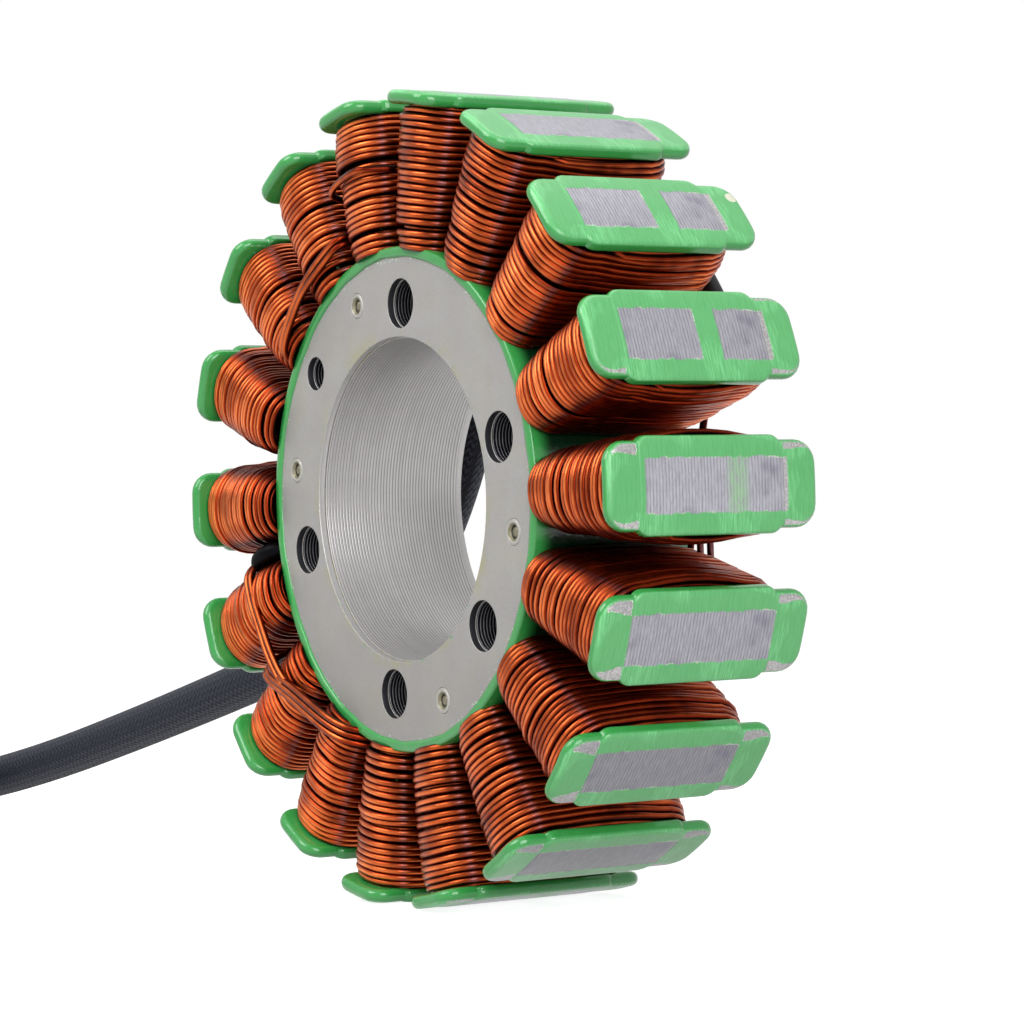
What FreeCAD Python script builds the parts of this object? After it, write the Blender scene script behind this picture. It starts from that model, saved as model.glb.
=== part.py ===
import FreeCAD, Part
import math
import os

import Sketcher

# Wound stator of a flywheel alternator.
# Y is the stator's axis and the bare front face looks towards -Y, +Z is up, and the
# origin lies on the bore's axis, half way through the core. It stands on its two lowest poles.

CABLE_SIDES = 12
COIL_SIDES = 24

DIMENSIONS = {
    # laminated core, with the coat that seals it
    "pole_count": 18,
    "tip_radius": 60.0,
    "bore_radius": 23.77,
    "yoke_radius": 37.3,
    "stack_length": 25.78,
    "end_plate_thickness": 1.1,
    "coat_thickness": 0.4,
    "neck_width": 7.2,
    "shoe_width": 13.76,
    "shoe_thickness": 2.2,
    "flange_width": 11.8,
    "flange_thickness": 1.9,
    "flange_step": 0.25,
    "flange_corner": 2.6,
    "front_flange_length": 4.1,
    "rear_flange_length": 5.2,
    # holes in the ring
    "pattern_angle": -40.0,
    "bolt_circle_radius": 28.9,
    "bolt_hole_radius": 3.55,
    "near_bolt_spread": 56.0,
    "far_bolt_spread": 126.0,
    "locating_circle_radius": 31.2,
    "locating_hole_radius": 2.45,
    "rivet_circle_radius": 31.3,
    "rivet_radius": 1.9,
    "rivet_head_height": 0.15,
    "near_rivet_spread": 30.0,
    "far_rivet_spread": 150.0,
    # windings
    "turn_count": 12,
    "coil_end_gap": 0.2,
    "turn_groove": 0.45,
    "side_build_root": 2.0,
    "side_build_tip": 3.8,
    "end_build_root": 1.8,
    "end_build_tip": 2.6,
    "coil_corner": 2.8,
    "magnet_wire_radius": 0.575,
    "link_clearance": 0.1,
    "link_pitch": 1.25,
    "link_span_poles": 15,
    "upper_link_rise": 2.4,
    "upper_link_fall": 0.8,
    "middle_link_rise": 6.6,
    "middle_link_fall": 2.2,
    "lower_link_rise": 2.6,
    "lower_link_fall": 1.8,
    # leads behind the coils
    "lead_radius": 1.3,
    "joint_radius": 1.8,
    "joint_span": 22.0,
    "first_joint_angle": 82.0,
    "first_slot_angle": 50.0,
    "fan_angle": 98.0,
    "lead_bend_step": 12.0,
    "lead_clearance": 0.3,
    "lead_spacing": 4.2,
    "tie_width": 3.0,
    "tie_thickness": 0.6,
    # sleeved cable and its end
    "cable_radius": 4.1,
    "coil_turn_radius": 41.0,
    "coil_layers": 2,
    "coil_stub": 28.0,
    "coil_section_corner": 2.4,
    "boot_length": 12.0,
    "boot_radius": 5.4,
    "plug_length": 30.0,
    "plug_width": 24.0,
    "plug_height": 13.0,
    "plug_wall": 1.6,
    "plug_floor": 10.0,
    "blade_width": 6.3,
    "blade_thickness": 0.8,
    "blade_length": 15.0,
    "blade_pitch": 6.9,
}

# The cable's route behind the core and down to the surface that the stator stands on.
CABLE_ROUTE = [
    (-15.5, 20.9, 40.0),
    (-32.0, 21.9, 16.8),
    (-46.0, 22.8, -4.2),
    (-63.0, 23.2, -18.0),
    (-98.0, 22.0, -27.2),
    (-150.0, 20.6, -39.0),
    (-200.0, 19.0, -49.4),
    (-240.0, 16.5, -55.7),
]
# The put-away coil's middle, and the cable's last stretch from the top of it to the boot.
COIL_MIDDLE = (-240.0, -24.5)
TAIL_ROUTE = [
    (-240.0, -65.5, -47.5),
    (-196.0, -64.8, -47.9),
    (-174.0, -58.6, -53.3),
    (-152.0, -58.6, -53.3),
]

doc = FreeCAD.newDocument("wound_stator")
sheet = doc.addObject("Spreadsheet::Sheet", "Dimensions")


def fill_sheet():
    for row, (name, value) in enumerate(DIMENSIONS.items(), start=1):
        sheet.set(f"A{row}", name)
        sheet.set(f"B{row}", str(value))
        sheet.setAlias(f"B{row}", name)
    doc.recompute()


def size(formula):
    """The value of a formula in the sheet's names, such as "neck_width / 2"."""
    return float(sheet.evalExpression(formula))


def bind(thing, prop, formula):
    thing.setExpression(prop, in_sheet(formula))


def in_sheet(formula):
    """The formula with the sheet's own name before each of its aliases."""
    for name in DIMENSIONS:
        formula = f" {formula} ".replace(f" {name} ", f" Dimensions.{name} ")
    return formula.strip()


def spot(radius, degrees, along):
    """A point by its distance from the axis, its angle from +X towards +Z, and its Y."""
    turn = math.radians(degrees)
    return FreeCAD.Vector(radius * math.cos(turn), along, radius * math.sin(turn))


def about_axis(degrees):
    """The placement that turns a piece made on +X round to another pole."""
    axis = FreeCAD.Vector(0, -1, 0)
    return FreeCAD.Placement(FreeCAD.Vector(), FreeCAD.Rotation(axis, degrees))


# Sketches and pads


def new_body(label):
    body = doc.addObject("PartDesign::Body", label)
    body.Label = label
    return body


def origin_feature(body, role):
    return next(part for part in body.Origin.OriginFeatures if part.Role == role)


def new_sketch(body, name, role):
    sketch = body.newObject("Sketcher::SketchObject", name)
    sketch.AttachmentSupport = [(origin_feature(body, role), "")]
    sketch.MapMode = "FlatFace"
    return sketch


def fix(sketch, kind, *rest, formula):
    """Add a measured constraint and bind it to a formula."""
    index = sketch.addConstraint(Sketcher.Constraint(kind, *rest, size(formula)))
    bind(sketch, f"Constraints[{index}]", formula)


def draw_circle(sketch, radius, across="0", up="0"):
    middle = FreeCAD.Vector(size(across), size(up), 0)
    circle = Part.Circle(middle, FreeCAD.Vector(0, 0, 1), size(radius))
    index = sketch.addGeometry(circle, False)
    fix(sketch, "Radius", index, formula=radius)
    if across == "0" and up == "0":
        sketch.addConstraint(Sketcher.Constraint("Coincident", index, 3, -1, 1))
    else:
        fix(sketch, "DistanceX", -1, 1, index, 3, formula=across)
        fix(sketch, "DistanceY", -1, 1, index, 3, formula=up)


def draw_outline(sketch, corners):
    """A closed straight-sided outline whose corners are pairs of formulas."""
    points = [FreeCAD.Vector(size(x), size(y), 0) for x, y in corners]
    sides = [Part.LineSegment(a, b) for a, b in zip(points, points[1:] + points[:1])]
    lines = sketch.addGeometry(sides, False)
    for line, following in zip(lines, lines[1:] + lines[:1]):
        sketch.addConstraint(Sketcher.Constraint("Coincident", line, 2, following, 1))
    for line, (across, up) in zip(lines, corners):
        fix(sketch, "DistanceX", -1, 1, line, 1, formula=across)
        fix(sketch, "DistanceY", -1, 1, line, 1, formula=up)


def draw_shoe(sketch):
    """A pole shoe's section: flat underneath, with its tip on the stator's outer circle."""
    seat, half, tip = size("tip_radius - shoe_thickness"), size("shoe_width / 2"), size("tip_radius")
    rim = math.sqrt(tip**2 - half**2)
    swing = math.asin(half / tip)
    outer = Part.Circle(FreeCAD.Vector(), FreeCAD.Vector(0, 0, 1), tip)
    corners = [FreeCAD.Vector(x, y, 0) for x, y in [(seat, -half), (rim, -half), (rim, half), (seat, half)]]
    lower, face, upper, under = sketch.addGeometry(
        [
            Part.LineSegment(corners[0], corners[1]),
            Part.ArcOfCircle(outer, -swing, swing),
            Part.LineSegment(corners[2], corners[3]),
            Part.LineSegment(corners[3], corners[0]),
        ],
        False,
    )
    for first, second in [(lower, face), (face, upper), (upper, under), (under, lower)]:
        sketch.addConstraint(Sketcher.Constraint("Coincident", first, 2, second, 1))
    sketch.addConstraint(Sketcher.Constraint("Coincident", face, 3, -1, 1))
    sketch.addConstraint(Sketcher.Constraint("Horizontal", lower))
    sketch.addConstraint(Sketcher.Constraint("Horizontal", upper))
    sketch.addConstraint(Sketcher.Constraint("Vertical", under))
    fix(sketch, "Radius", face, formula="tip_radius")
    fix(sketch, "DistanceX", -1, 1, lower, 1, formula="tip_radius - shoe_thickness")
    fix(sketch, "DistanceY", -1, 1, lower, 1, formula="-1 * shoe_width / 2")
    fix(sketch, "DistanceY", -1, 1, upper, 1, formula="shoe_width / 2")


def pad(body, name, sketch, length):
    feature = body.newObject("PartDesign::Pad", name)
    feature.Profile = sketch
    feature.SideType = "Symmetric"
    bind(feature, "Length", length)
    return feature


# The core


def hole_spots():
    """Formulas for each hole in the ring: its radius, its circle's radius and its angle."""
    bolts = [
        "pattern_angle",
        "pattern_angle + near_bolt_spread",
        "pattern_angle - near_bolt_spread",
        "pattern_angle + far_bolt_spread",
        "pattern_angle - far_bolt_spread",
    ]
    holes = [("bolt_hole_radius", "bolt_circle_radius", angle) for angle in bolts]
    holes.append(("locating_hole_radius", "locating_circle_radius", "pattern_angle + 180"))
    holes += [("rivet_radius", "rivet_circle_radius", angle) for angle in rivet_angles()]
    return holes


def rivet_angles():
    spreads = ["near_rivet_spread", "far_rivet_spread"]
    return [f"pattern_angle {sign} {spread}" for spread in spreads for sign in "+-"]


def make_core():
    """Laminations between two end plates, riveted and coated, with the ring left bare."""
    body = new_body("laminated_core")

    ring = new_sketch(body, "ring_outline", "XZ_Plane")
    draw_circle(ring, "bore_radius")
    draw_circle(ring, "yoke_radius")
    pad(body, "ring", ring, "stack_length")

    neck = new_sketch(body, "neck_outline", "XZ_Plane")
    root = "yoke_radius - 2 * coat_thickness"
    top = "tip_radius - shoe_thickness"
    half = "neck_width / 2"
    draw_outline(neck, [(root, f"-1 * {half}"), (top, f"-1 * {half}"), (top, half), (root, half)])
    neck_pad = pad(body, "neck", neck, "stack_length + 2 * coat_thickness")

    shoe = new_sketch(body, "shoe_outline", "XZ_Plane")
    draw_shoe(shoe)
    shoe_pad = pad(body, "shoe", shoe, "stack_length - 2 * end_plate_thickness")

    flange = new_sketch(body, "flange_outline", "YZ_Plane")
    bind(flange, "AttachmentOffset.Base.z", "tip_radius - flange_step")
    front = "-1 * stack_length / 2 - front_flange_length"
    rear = "stack_length / 2 + rear_flange_length"
    side = "flange_width / 2"
    corner = "flange_corner"
    draw_outline(
        flange,
        [
            (f"{front} + {corner}", f"-1 * {side}"),
            (f"{rear} - {corner}", f"-1 * {side}"),
            (rear, f"-1 * {side} + {corner}"),
            (rear, f"{side} - {corner}"),
            (f"{rear} - {corner}", side),
            (f"{front} + {corner}", side),
            (front, f"{side} - {corner}"),
            (front, f"-1 * {side} + {corner}"),
        ],
    )
    flange_pad = body.newObject("PartDesign::Pad", "flange")
    flange_pad.Profile = flange
    flange_pad.Reversed = True
    bind(flange_pad, "Length", "flange_thickness")

    poles = body.newObject("PartDesign::PolarPattern", "poles")
    poles.Originals = [neck_pad, shoe_pad, flange_pad]
    poles.Axis = (origin_feature(body, "Y_Axis"), [""])
    poles.Angle = 360
    bind(poles, "Occurrences", "pole_count")
    body.Tip = poles

    drilled = new_sketch(body, "hole_outlines", "XZ_Plane")
    for radius, circle, angle in hole_spots():
        draw_circle(drilled, radius, f"{circle} * cos( {angle} )", f"{circle} * sin( {angle} )")
    holes = body.newObject("PartDesign::Pocket", "holes")
    holes.Profile = drilled
    holes.SideType = "Symmetric"
    bind(holes, "Length", "stack_length + 4 * coat_thickness")
    body.Tip = holes
    return body


def make_rivets():
    """Four rivets through the ring, a little proud of it at each end."""
    for number, angle in enumerate(rivet_angles(), start=1):
        rivet = doc.addObject("Part::Cylinder", f"rivet_{number}")
        rivet.Label = f"rivet_{number}"
        rivet.Placement.Rotation = FreeCAD.Rotation(FreeCAD.Vector(1, 0, 0), -90)
        bind(rivet, "Radius", "rivet_radius")
        bind(rivet, "Height", "stack_length + 2 * rivet_head_height")
        bind(rivet, "Placement.Base.x", f"rivet_circle_radius * cos( {angle} )")
        bind(rivet, "Placement.Base.y", "-1 * stack_length / 2 - rivet_head_height")
        bind(rivet, "Placement.Base.z", f"rivet_circle_radius * sin( {angle} )")


# Solids made of flat faces between rings of points


def flat_face(points):
    return Part.Face(Part.makePolygon(points + points[:1]))


def ringed_solid(rings, closed=False):
    """A solid with a flat face between each side of one ring of points and the next ring's."""
    pairs = list(zip(rings, rings[1:]))
    faces = [] if closed else [flat_face(rings[0]), flat_face(rings[-1])]
    if closed:
        pairs.append((rings[-1], rings[0]))
    for near, far in pairs:
        for side in range(len(near)):
            after = (side + 1) % len(near)
            faces.append(flat_face([near[side], near[after], far[after], far[side]]))
    shell = Part.Shell(faces)
    shell.sewShape()
    solid = Part.Solid(shell)
    if solid.Volume < 0:
        solid.reverse()
    return solid


def ring_about(point, run, radius, sides):
    """The corners of an even many-sided section across a run, the same way round for every piece."""
    across = run.cross(FreeCAD.Vector(0, 1, 0))
    if across.Length < 0.1:
        across = run.cross(FreeCAD.Vector(1, 0, 0))
    across.normalize()
    other = run.cross(across)
    turns = [2 * math.pi * (side + 0.5) / sides for side in range(sides)]
    return [point + across * (radius * math.cos(turn)) + other * (radius * math.sin(turn)) for turn in turns]


def mitred_bar(points, radius, sides=6):
    """A bar of many-sided section along a path, cut to its mitre at each corner."""
    runs = [(b - a).normalize() for a, b in zip(points, points[1:])]
    ring = ring_about(points[0], runs[0], radius, sides)
    rings = [ring]
    for number, run in enumerate(runs):
        corner = points[number + 1]
        following = runs[min(number + 1, len(runs) - 1)]
        mitre = (run + following).normalize()
        ring = [point + run * ((corner - point).dot(mitre) / run.dot(mitre)) for point in ring]
        rings.append(ring)
    return ringed_solid(rings)


def add_piece(label, shape, placement=None):
    piece = doc.addObject("Part::Feature", label)
    piece.Label = label
    piece.Shape = shape
    if placement:
        piece.Placement = placement
    return piece


# The windings


def coil_ring(radius, share, groove):
    """One turn's outline round a pole, wider and longer towards the shoe, in by its groove."""
    half_core = size("stack_length / 2 + coat_thickness")
    side_build = size("side_build_root") + share * size("side_build_tip - side_build_root")
    end_build = size("end_build_root") + share * size("end_build_tip - end_build_root")
    half = size("neck_width / 2") + side_build - groove
    reach = half_core + end_build - groove
    corner = size("coil_corner")
    return [
        FreeCAD.Vector(radius, along, across)
        for along, across in [
            (reach - corner, half),
            (reach, half - corner),
            (reach, corner - half),
            (reach - corner, -half),
            (corner - reach, -half),
            (-reach, corner - half),
            (-reach, half - corner),
            (corner - reach, half),
        ]
    ]


def make_coils():
    """A coil for each pole: its turns show as ridges, and it fits close round the coated neck."""
    turns = int(size("turn_count"))
    root = size("yoke_radius")
    tip = size("tip_radius - shoe_thickness - coil_end_gap")
    rings = []
    for level in range(2 * turns + 1):
        share = level / (2 * turns)
        groove = 0.0 if level % 2 else size("turn_groove")
        rings.append(coil_ring(root + share * (tip - root), share, groove))
    core = size("stack_length + 2 * coat_thickness")
    neck = size("neck_width")
    window = Part.makeBox(2 * tip, core, neck, FreeCAD.Vector(0, -core / 2, -neck / 2))
    coil = ringed_solid(rings).cut(window)
    poles = int(size("pole_count"))
    for number in range(poles):
        add_piece(f"coil_{number + 1:02d}", coil.Solids[0], about_axis(number * 360 / poles))


def link_radius(phase):
    """The distance from the axis of one phase's links, which lie inside the coils' roots."""
    wire = size("magnet_wire_radius")
    return size("yoke_radius - link_clearance") - wire - (2 - phase) * size("link_pitch")


def link_height():
    return size("stack_length / 2 + coat_thickness + link_clearance + magnet_wire_radius")


def joint_start(lead):
    """Where the covered joint of a lead begins, on the coils' rear ends."""
    return spot(lead_radius(lead), size("first_joint_angle") - lead * pole_step(), lead_height())


def joint_end(lead):
    angle = size("first_joint_angle - joint_span") - lead * pole_step()
    return spot(lead_radius(lead), angle, lead_height())


def lead_radius(lead):
    """The three leads lie side by side, the shortest nearest the yoke."""
    return size("yoke_radius + joint_radius + lead_spacing / 2") + lead * size("lead_spacing")


def lead_height():
    return size("stack_length / 2 + coat_thickness + end_build_tip + lead_clearance + joint_radius")


def pole_step():
    return 360 / size("pole_count")


def make_phase_links():
    """Behind the core, each phase's wire from its joint to its coils, round the yoke in one plane.

    A wire leaves its joint and drops into a slot, goes round inside the coils' roots, and
    climbs over the wires outside it to the slot where its last coil begins.
    """
    wire, low = size("magnet_wire_radius"), link_height()
    outside = size("yoke_radius + 2 * magnet_wire_radius")
    steps = int(size("link_span_poles"))
    for phase, name in enumerate(["inner_phase_links", "middle_phase_links", "outer_phase_links"]):
        first = size("first_slot_angle") - phase * pole_step()
        last = first - steps * pole_step()
        climb = low + (size("link_pitch") if phase < 2 else 0)
        start, onward = joint_end(phase), (joint_end(phase) - joint_start(phase)).normalize()
        path = [
            start,
            start + onward * wire,
            spot(outside + 3 * wire, first, lead_height() - size("joint_radius")),
            spot(outside, first, low + wire),
        ]
        path += [spot(link_radius(phase), first - step * pole_step(), low) for step in range(steps)]
        path += [spot(link_radius(phase), last, climb), spot(outside, last, climb)]
        path.append(spot(outside + 4 * wire, last, low - 2 * wire))
        add_piece(name, mitred_bar(path, wire))


def make_front_links():
    """In front, single wires that lie over one coil's end and pass on to the next coil's."""
    wire = size("magnet_wire_radius")
    root, tip = size("yoke_radius"), size("tip_radius - shoe_thickness - coil_end_gap")
    for name, pole in [("upper", 6), ("middle", 10), ("lower", 11)]:
        path = []
        for share in (0, 1 / 3, 2 / 3, 1):
            radius = root + wire + size(f"{name}_link_rise") - share * size(f"{name}_link_fall")
            build = (radius - root) / (tip - root) * size("end_build_tip - end_build_root")
            front = size("stack_length / 2 + coat_thickness + end_build_root + link_clearance")
            path.append(spot(radius, (pole + share) * pole_step(), -front - build - wire))
        add_piece(f"{name}_front_link", mitred_bar(path, wire))


# The leads and the cable


def make_leads():
    """Three insulated leads from the cable's mouth over the coils, each to its covered joint."""
    mouth, inward = [FreeCAD.Vector(*point) for point in CABLE_ROUTE[:2]]
    out = (mouth - inward).normalize()
    aside = FreeCAD.Vector(0, 1, 0).cross(out).normalize()
    upward = out.cross(aside).normalize()
    spread = 1.15 * size("lead_radius")
    gathered = [(1.0, 0.6), (0.0, -1.0), (-1.0, 0.6)]
    for lead, (right, up) in enumerate(gathered):
        start = mouth + aside * (right * spread) + upward * (up * spread)
        path = [start, start + out * size("lead_clearance + lead_radius")]
        reached = size("fan_angle")
        while reached > size("first_joint_angle + lead_bend_step / 2") - lead * pole_step():
            path.append(spot(lead_radius(lead), reached, lead_height()))
            reached -= size("lead_bend_step")
        ends = [joint_start(lead), joint_end(lead)]
        onward = (ends[1] - ends[0]).normalize()
        path += [ends[0] - onward * size("lead_radius"), ends[0]]
        add_piece(f"phase_lead_{lead + 1}", mitred_bar(path, size("lead_radius")))
        add_piece(f"joint_sleeve_{lead + 1}", mitred_bar(ends, size("joint_radius"), 8))


def over_flats(radius):
    """The corner radius of a cable section whose flats lie at the given radius."""
    return radius / math.cos(math.pi / CABLE_SIDES)


def cable_tube(points):
    """Straight runs joined by tangent arcs, each as large as its two runs allow."""
    lengths = [(b - a).Length for a, b in zip(points, points[1:])]
    runs = [(b - a).normalize() for a, b in zip(points, points[1:])]
    section = flat_face(ring_about(points[0], runs[0], over_flats(size("cable_radius")), CABLE_SIDES))
    pieces, reached, travelled = [], points[0], 0.0
    for number, (corner, into, onward) in enumerate(zip(points[1:], runs, runs[1:]), start=1):
        turn = into.getAngle(onward)
        tangent = 0.45 * min(lengths[number - 1], lengths[number])
        bend = tangent / math.tan(turn / 2)
        print(f"cable corner {number}: turn {math.degrees(turn):.1f} degrees, radius {bend:.0f} mm")
        start = corner - into * tangent
        pieces.append(section.extrude(start - reached))
        section.translate(start - reached)
        middle = start + (onward - into * into.dot(onward)).normalize() * bend
        pieces.append(section.revolve(middle, into.cross(onward), math.degrees(turn)))
        section.rotate(middle, into.cross(onward), math.degrees(turn))
        travelled += (start - reached).Length + bend * turn
        reached = corner + onward * tangent
    pieces.append(section.extrude(points[-1] - reached))
    travelled += (points[-1] - reached).Length
    tube = pieces[0].fuse(pieces[1:])
    ideal = section.Area * travelled
    print(f"cable stretch {travelled:.1f} mm, volume {tube.Volume:.0f} of {ideal:.0f} mm3")
    return tube


def cable_coil():
    """The outer shape of the put-away turns: a ring as wide as the cable, a layer on a layer."""
    wide, corner = size("cable_radius"), size("coil_section_corner")
    tall = size("cable_radius * coil_layers")
    middle_x, middle_y = COIL_MIDDLE
    middle_z = CABLE_ROUTE[-1][2] - wide + tall
    section = [
        (wide, tall - corner),
        (wide - corner, tall),
        (corner - wide, tall),
        (-wide, tall - corner),
        (-wide, corner - tall),
        (corner - wide, -tall),
        (wide - corner, -tall),
        (wide, corner - tall),
    ]
    rings = []
    for side in range(COIL_SIDES):
        turn = 2 * math.pi * (side + 0.5) / COIL_SIDES
        rings.append(
            [
                FreeCAD.Vector(
                    middle_x + (size("coil_turn_radius") + out) * math.cos(turn),
                    middle_y + (size("coil_turn_radius") + out) * math.sin(turn),
                    middle_z + up,
                )
                for out, up in section
            ]
        )
    return ringed_solid(rings, closed=True)


def past_coil(start, onward):
    """A point of the cable a stub's length from its coil, on the straight from start."""
    return start + (onward - start).normalize() * size("coil_stub")


def make_cable():
    """The woven sleeve in three stretches: behind the core, put away in a coil, and to the plug."""
    route = [FreeCAD.Vector(*point) for point in CABLE_ROUTE]
    tail = [FreeCAD.Vector(*point) for point in TAIL_ROUTE]
    coil = cable_coil()
    arrival, departure = past_coil(route[-1], route[-2]), past_coil(tail[0], tail[1])
    for start, end in [(route[-1], arrival), (tail[0], departure)]:
        coil = coil.fuse(mitred_bar([start, end], over_flats(size("cable_radius")), CABLE_SIDES))
    add_piece("cable", cable_tube(route[:-1] + [arrival]))
    add_piece("cable_coil", coil.removeSplitter())
    add_piece("cable_tail", cable_tube([departure] + tail[1:]))


def square_loop(inner, outer, width):
    """A flat band bent round a rectangular bundle, in the XZ plane; sizes are half-widths."""
    boxes = []
    for across, up in (outer, inner):
        boxes.append(Part.makeBox(2 * across, width, 2 * up, FreeCAD.Vector(-across, -width / 2, -up)))
    return boxes[0].cut(boxes[1])


def make_ties():
    """A band round the cable's mouth, and one round the put-away coil."""
    thick, width, wide = size("tie_thickness"), size("tie_width"), size("cable_radius")
    mouth, inward = [FreeCAD.Vector(*point) for point in CABLE_ROUTE[:2]]
    along = (inward - mouth).normalize()
    ends = [mouth + along * thick, mouth + along * (thick + width)]
    outer, inner = [mitred_bar(ends, over_flats(wide + extra), CABLE_SIDES) for extra in (thick, 0.0)]
    add_piece("mouth_band", outer.cut(inner))

    tall = wide * size("coil_layers")
    loop = square_loop((wide, tall), (wide + thick, tall + thick), 1.6 * width)
    middle_x, middle_y = COIL_MIDDLE
    floor = CABLE_ROUTE[-1][2] - wide
    place = FreeCAD.Vector(middle_x - size("coil_turn_radius"), middle_y, floor + tall)
    reach = 2 * tall
    below = FreeCAD.Vector(place.x - reach, place.y - reach, floor - reach)
    ground = Part.makeBox(2 * reach, 2 * reach, reach, below)
    loop.translate(place)
    add_piece("coil_tie", loop.cut(ground).cut(cable_coil()))


def make_plug():
    """The cable's boot and three-way plug, lying beside the coil."""
    end, before = [FreeCAD.Vector(*point) for point in (TAIL_ROUTE[-1], TAIL_ROUTE[-2])]
    along = (end - before).normalize()
    turn = FreeCAD.Rotation(FreeCAD.Vector(1, 0, 0), along)
    seat = end + along * size("boot_length")
    narrow, wide = over_flats(size("cable_radius")), size("boot_radius")
    rings = [ring_about(place, along, radius, CABLE_SIDES) for place, radius in [(end, narrow), (seat, wide)]]
    add_piece("cable_boot", ringed_solid(rings))

    length, wide, tall, wall = (size(f"plug_{name}") for name in ("length", "width", "height", "wall"))
    shell = Part.makeBox(length, wide, tall, FreeCAD.Vector(0, -wide / 2, -tall / 2))
    floor = size("plug_floor")
    mouth = FreeCAD.Vector(floor, wall - wide / 2, wall - tall / 2)
    shell = shell.cut(Part.makeBox(length, wide - 2 * wall, tall - 2 * wall, mouth))
    blades = []
    reach, thick, deep = (size(f"blade_{name}") for name in ("length", "thickness", "width"))
    for number in (-1, 0, 1):
        corner = FreeCAD.Vector(floor, number * size("blade_pitch") - thick / 2, -deep / 2)
        blades.append(Part.makeBox(reach, thick, deep, corner))
    place = FreeCAD.Placement(seat, turn)
    add_piece("plug_housing", shell, place)
    add_piece("plug_blades", Part.makeCompound(blades), place)


def checked_pieces():
    """Every sub-part, once the whole document is known to be sound."""
    doc.recompute()
    for thing in doc.Objects:
        if {"Invalid", "Error"} & set(thing.State):
            raise RuntimeError(f"{thing.Label} failed: {thing.State}")
    kinds = ("PartDesign::Body", "Part::Feature", "Part::Cylinder")
    pieces = [thing for thing in doc.Objects if thing.TypeId in kinds]
    for piece in pieces:
        if piece.Shape.isNull() or not piece.Shape.isValid() or not piece.Shape.Solids:
            raise RuntimeError(f"{piece.Label} has no sound solid")
    return pieces


fill_sheet()
make_core()
make_rivets()
make_coils()
make_phase_links()
make_front_links()
make_leads()
make_cable()
make_ties()
make_plug()
pieces = checked_pieces()
os.makedirs("parts", exist_ok=True)
for piece in pieces:
    piece.Shape.exportStep(f"parts/{piece.Label}.step")
print(len(pieces), "pieces written")
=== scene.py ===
import math
import random

import bmesh
import bpy
import numpy as np
from mathutils import Matrix, Vector


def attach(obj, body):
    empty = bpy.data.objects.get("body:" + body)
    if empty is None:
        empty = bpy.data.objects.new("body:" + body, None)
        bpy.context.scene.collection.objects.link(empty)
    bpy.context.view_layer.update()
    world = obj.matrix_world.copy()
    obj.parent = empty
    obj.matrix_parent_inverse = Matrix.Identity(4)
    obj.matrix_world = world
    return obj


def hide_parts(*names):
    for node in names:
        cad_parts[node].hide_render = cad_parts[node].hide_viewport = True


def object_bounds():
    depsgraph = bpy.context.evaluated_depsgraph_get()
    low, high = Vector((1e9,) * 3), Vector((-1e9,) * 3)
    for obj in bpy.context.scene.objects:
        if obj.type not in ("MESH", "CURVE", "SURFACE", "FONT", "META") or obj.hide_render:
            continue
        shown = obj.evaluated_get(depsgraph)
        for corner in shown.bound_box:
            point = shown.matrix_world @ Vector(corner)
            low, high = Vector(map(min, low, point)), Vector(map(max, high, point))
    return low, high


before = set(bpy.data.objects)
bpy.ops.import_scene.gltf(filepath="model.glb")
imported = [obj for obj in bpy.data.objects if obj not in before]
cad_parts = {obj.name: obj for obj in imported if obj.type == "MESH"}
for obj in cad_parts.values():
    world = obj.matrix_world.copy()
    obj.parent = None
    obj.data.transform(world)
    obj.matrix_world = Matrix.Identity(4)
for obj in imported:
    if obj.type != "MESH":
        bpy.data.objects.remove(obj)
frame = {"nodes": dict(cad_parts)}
CAD_LOW, CAD_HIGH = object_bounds()

# Lengths are in metres. The stator's axis is Y, its front looks towards -Y, and +Z is up.
MM = 0.001

# The camera, solved from the round edges in the photograph
CAMERA_PLACE = Vector((0.404995, -0.254191, -0.0076065))
CAMERA_AZIMUTH = 57.886
CAMERA_ELEVATION = -0.9114
CAMERA_ROLL = -1.7297
CAMERA_LENS = 112.37
CAMERA_SHIFT = (0.0383, -0.0137)

# The light: the world's strength on the object, and the floor's own white
WORLD_LIGHT = 0.3
FLOOR_GLOW = 0.87
FLOOR_SPAN = 4.0

# The core
POLE_COUNT = 18
POLE_STEP = 360 / POLE_COUNT
TIP_RADIUS = 60.0 * MM
BORE_RADIUS = 23.77 * MM
BARE_RADIUS = 35.65 * MM
YOKE_RADIUS = 37.3 * MM
STACK_LENGTH = 25.78 * MM
HALF_STACK = STACK_LENGTH / 2
END_PLATE = 1.1 * MM
COAT = 0.4 * MM
NECK_WIDTH = 7.2 * MM
SHOE_WIDTH = 13.5 * MM
SHOE_THICKNESS = 1.9 * MM
SHOE_CORNER = 2.0 * MM
SHOE_EDGE = 0.6 * MM
TAB_WIDTH = 12.1 * MM
TAB_CORNER = 3.2 * MM
TAB_THICKNESS = 2.0 * MM
TAB_EDGE = 0.95 * MM
TAB_STEP = 0.07 * MM
FRONT_TAB = 3.8 * MM
REAR_TAB = 5.3 * MM
# How far behind the stack the rear tab narrows
REAR_STEP = 0.7 * MM
LAMINATION = 0.53 * MM

# The holes in the ring
PATTERN_ANGLE = -40.0
BOLT_CIRCLE = 28.9 * MM
BOLT_RADIUS = 3.55 * MM
BOLT_ANGLES = [PATTERN_ANGLE + spread for spread in (0, 56, -56, 126, -126)]
LOCATING_CIRCLE = 31.2 * MM
LOCATING_RADIUS = 2.45 * MM
RIVET_CIRCLE = 31.3 * MM
RIVET_RADIUS = 1.9 * MM
RIVET_ANGLES = [PATTERN_ANGLE + spread for spread in (30, -30, 150, -150)]

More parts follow.
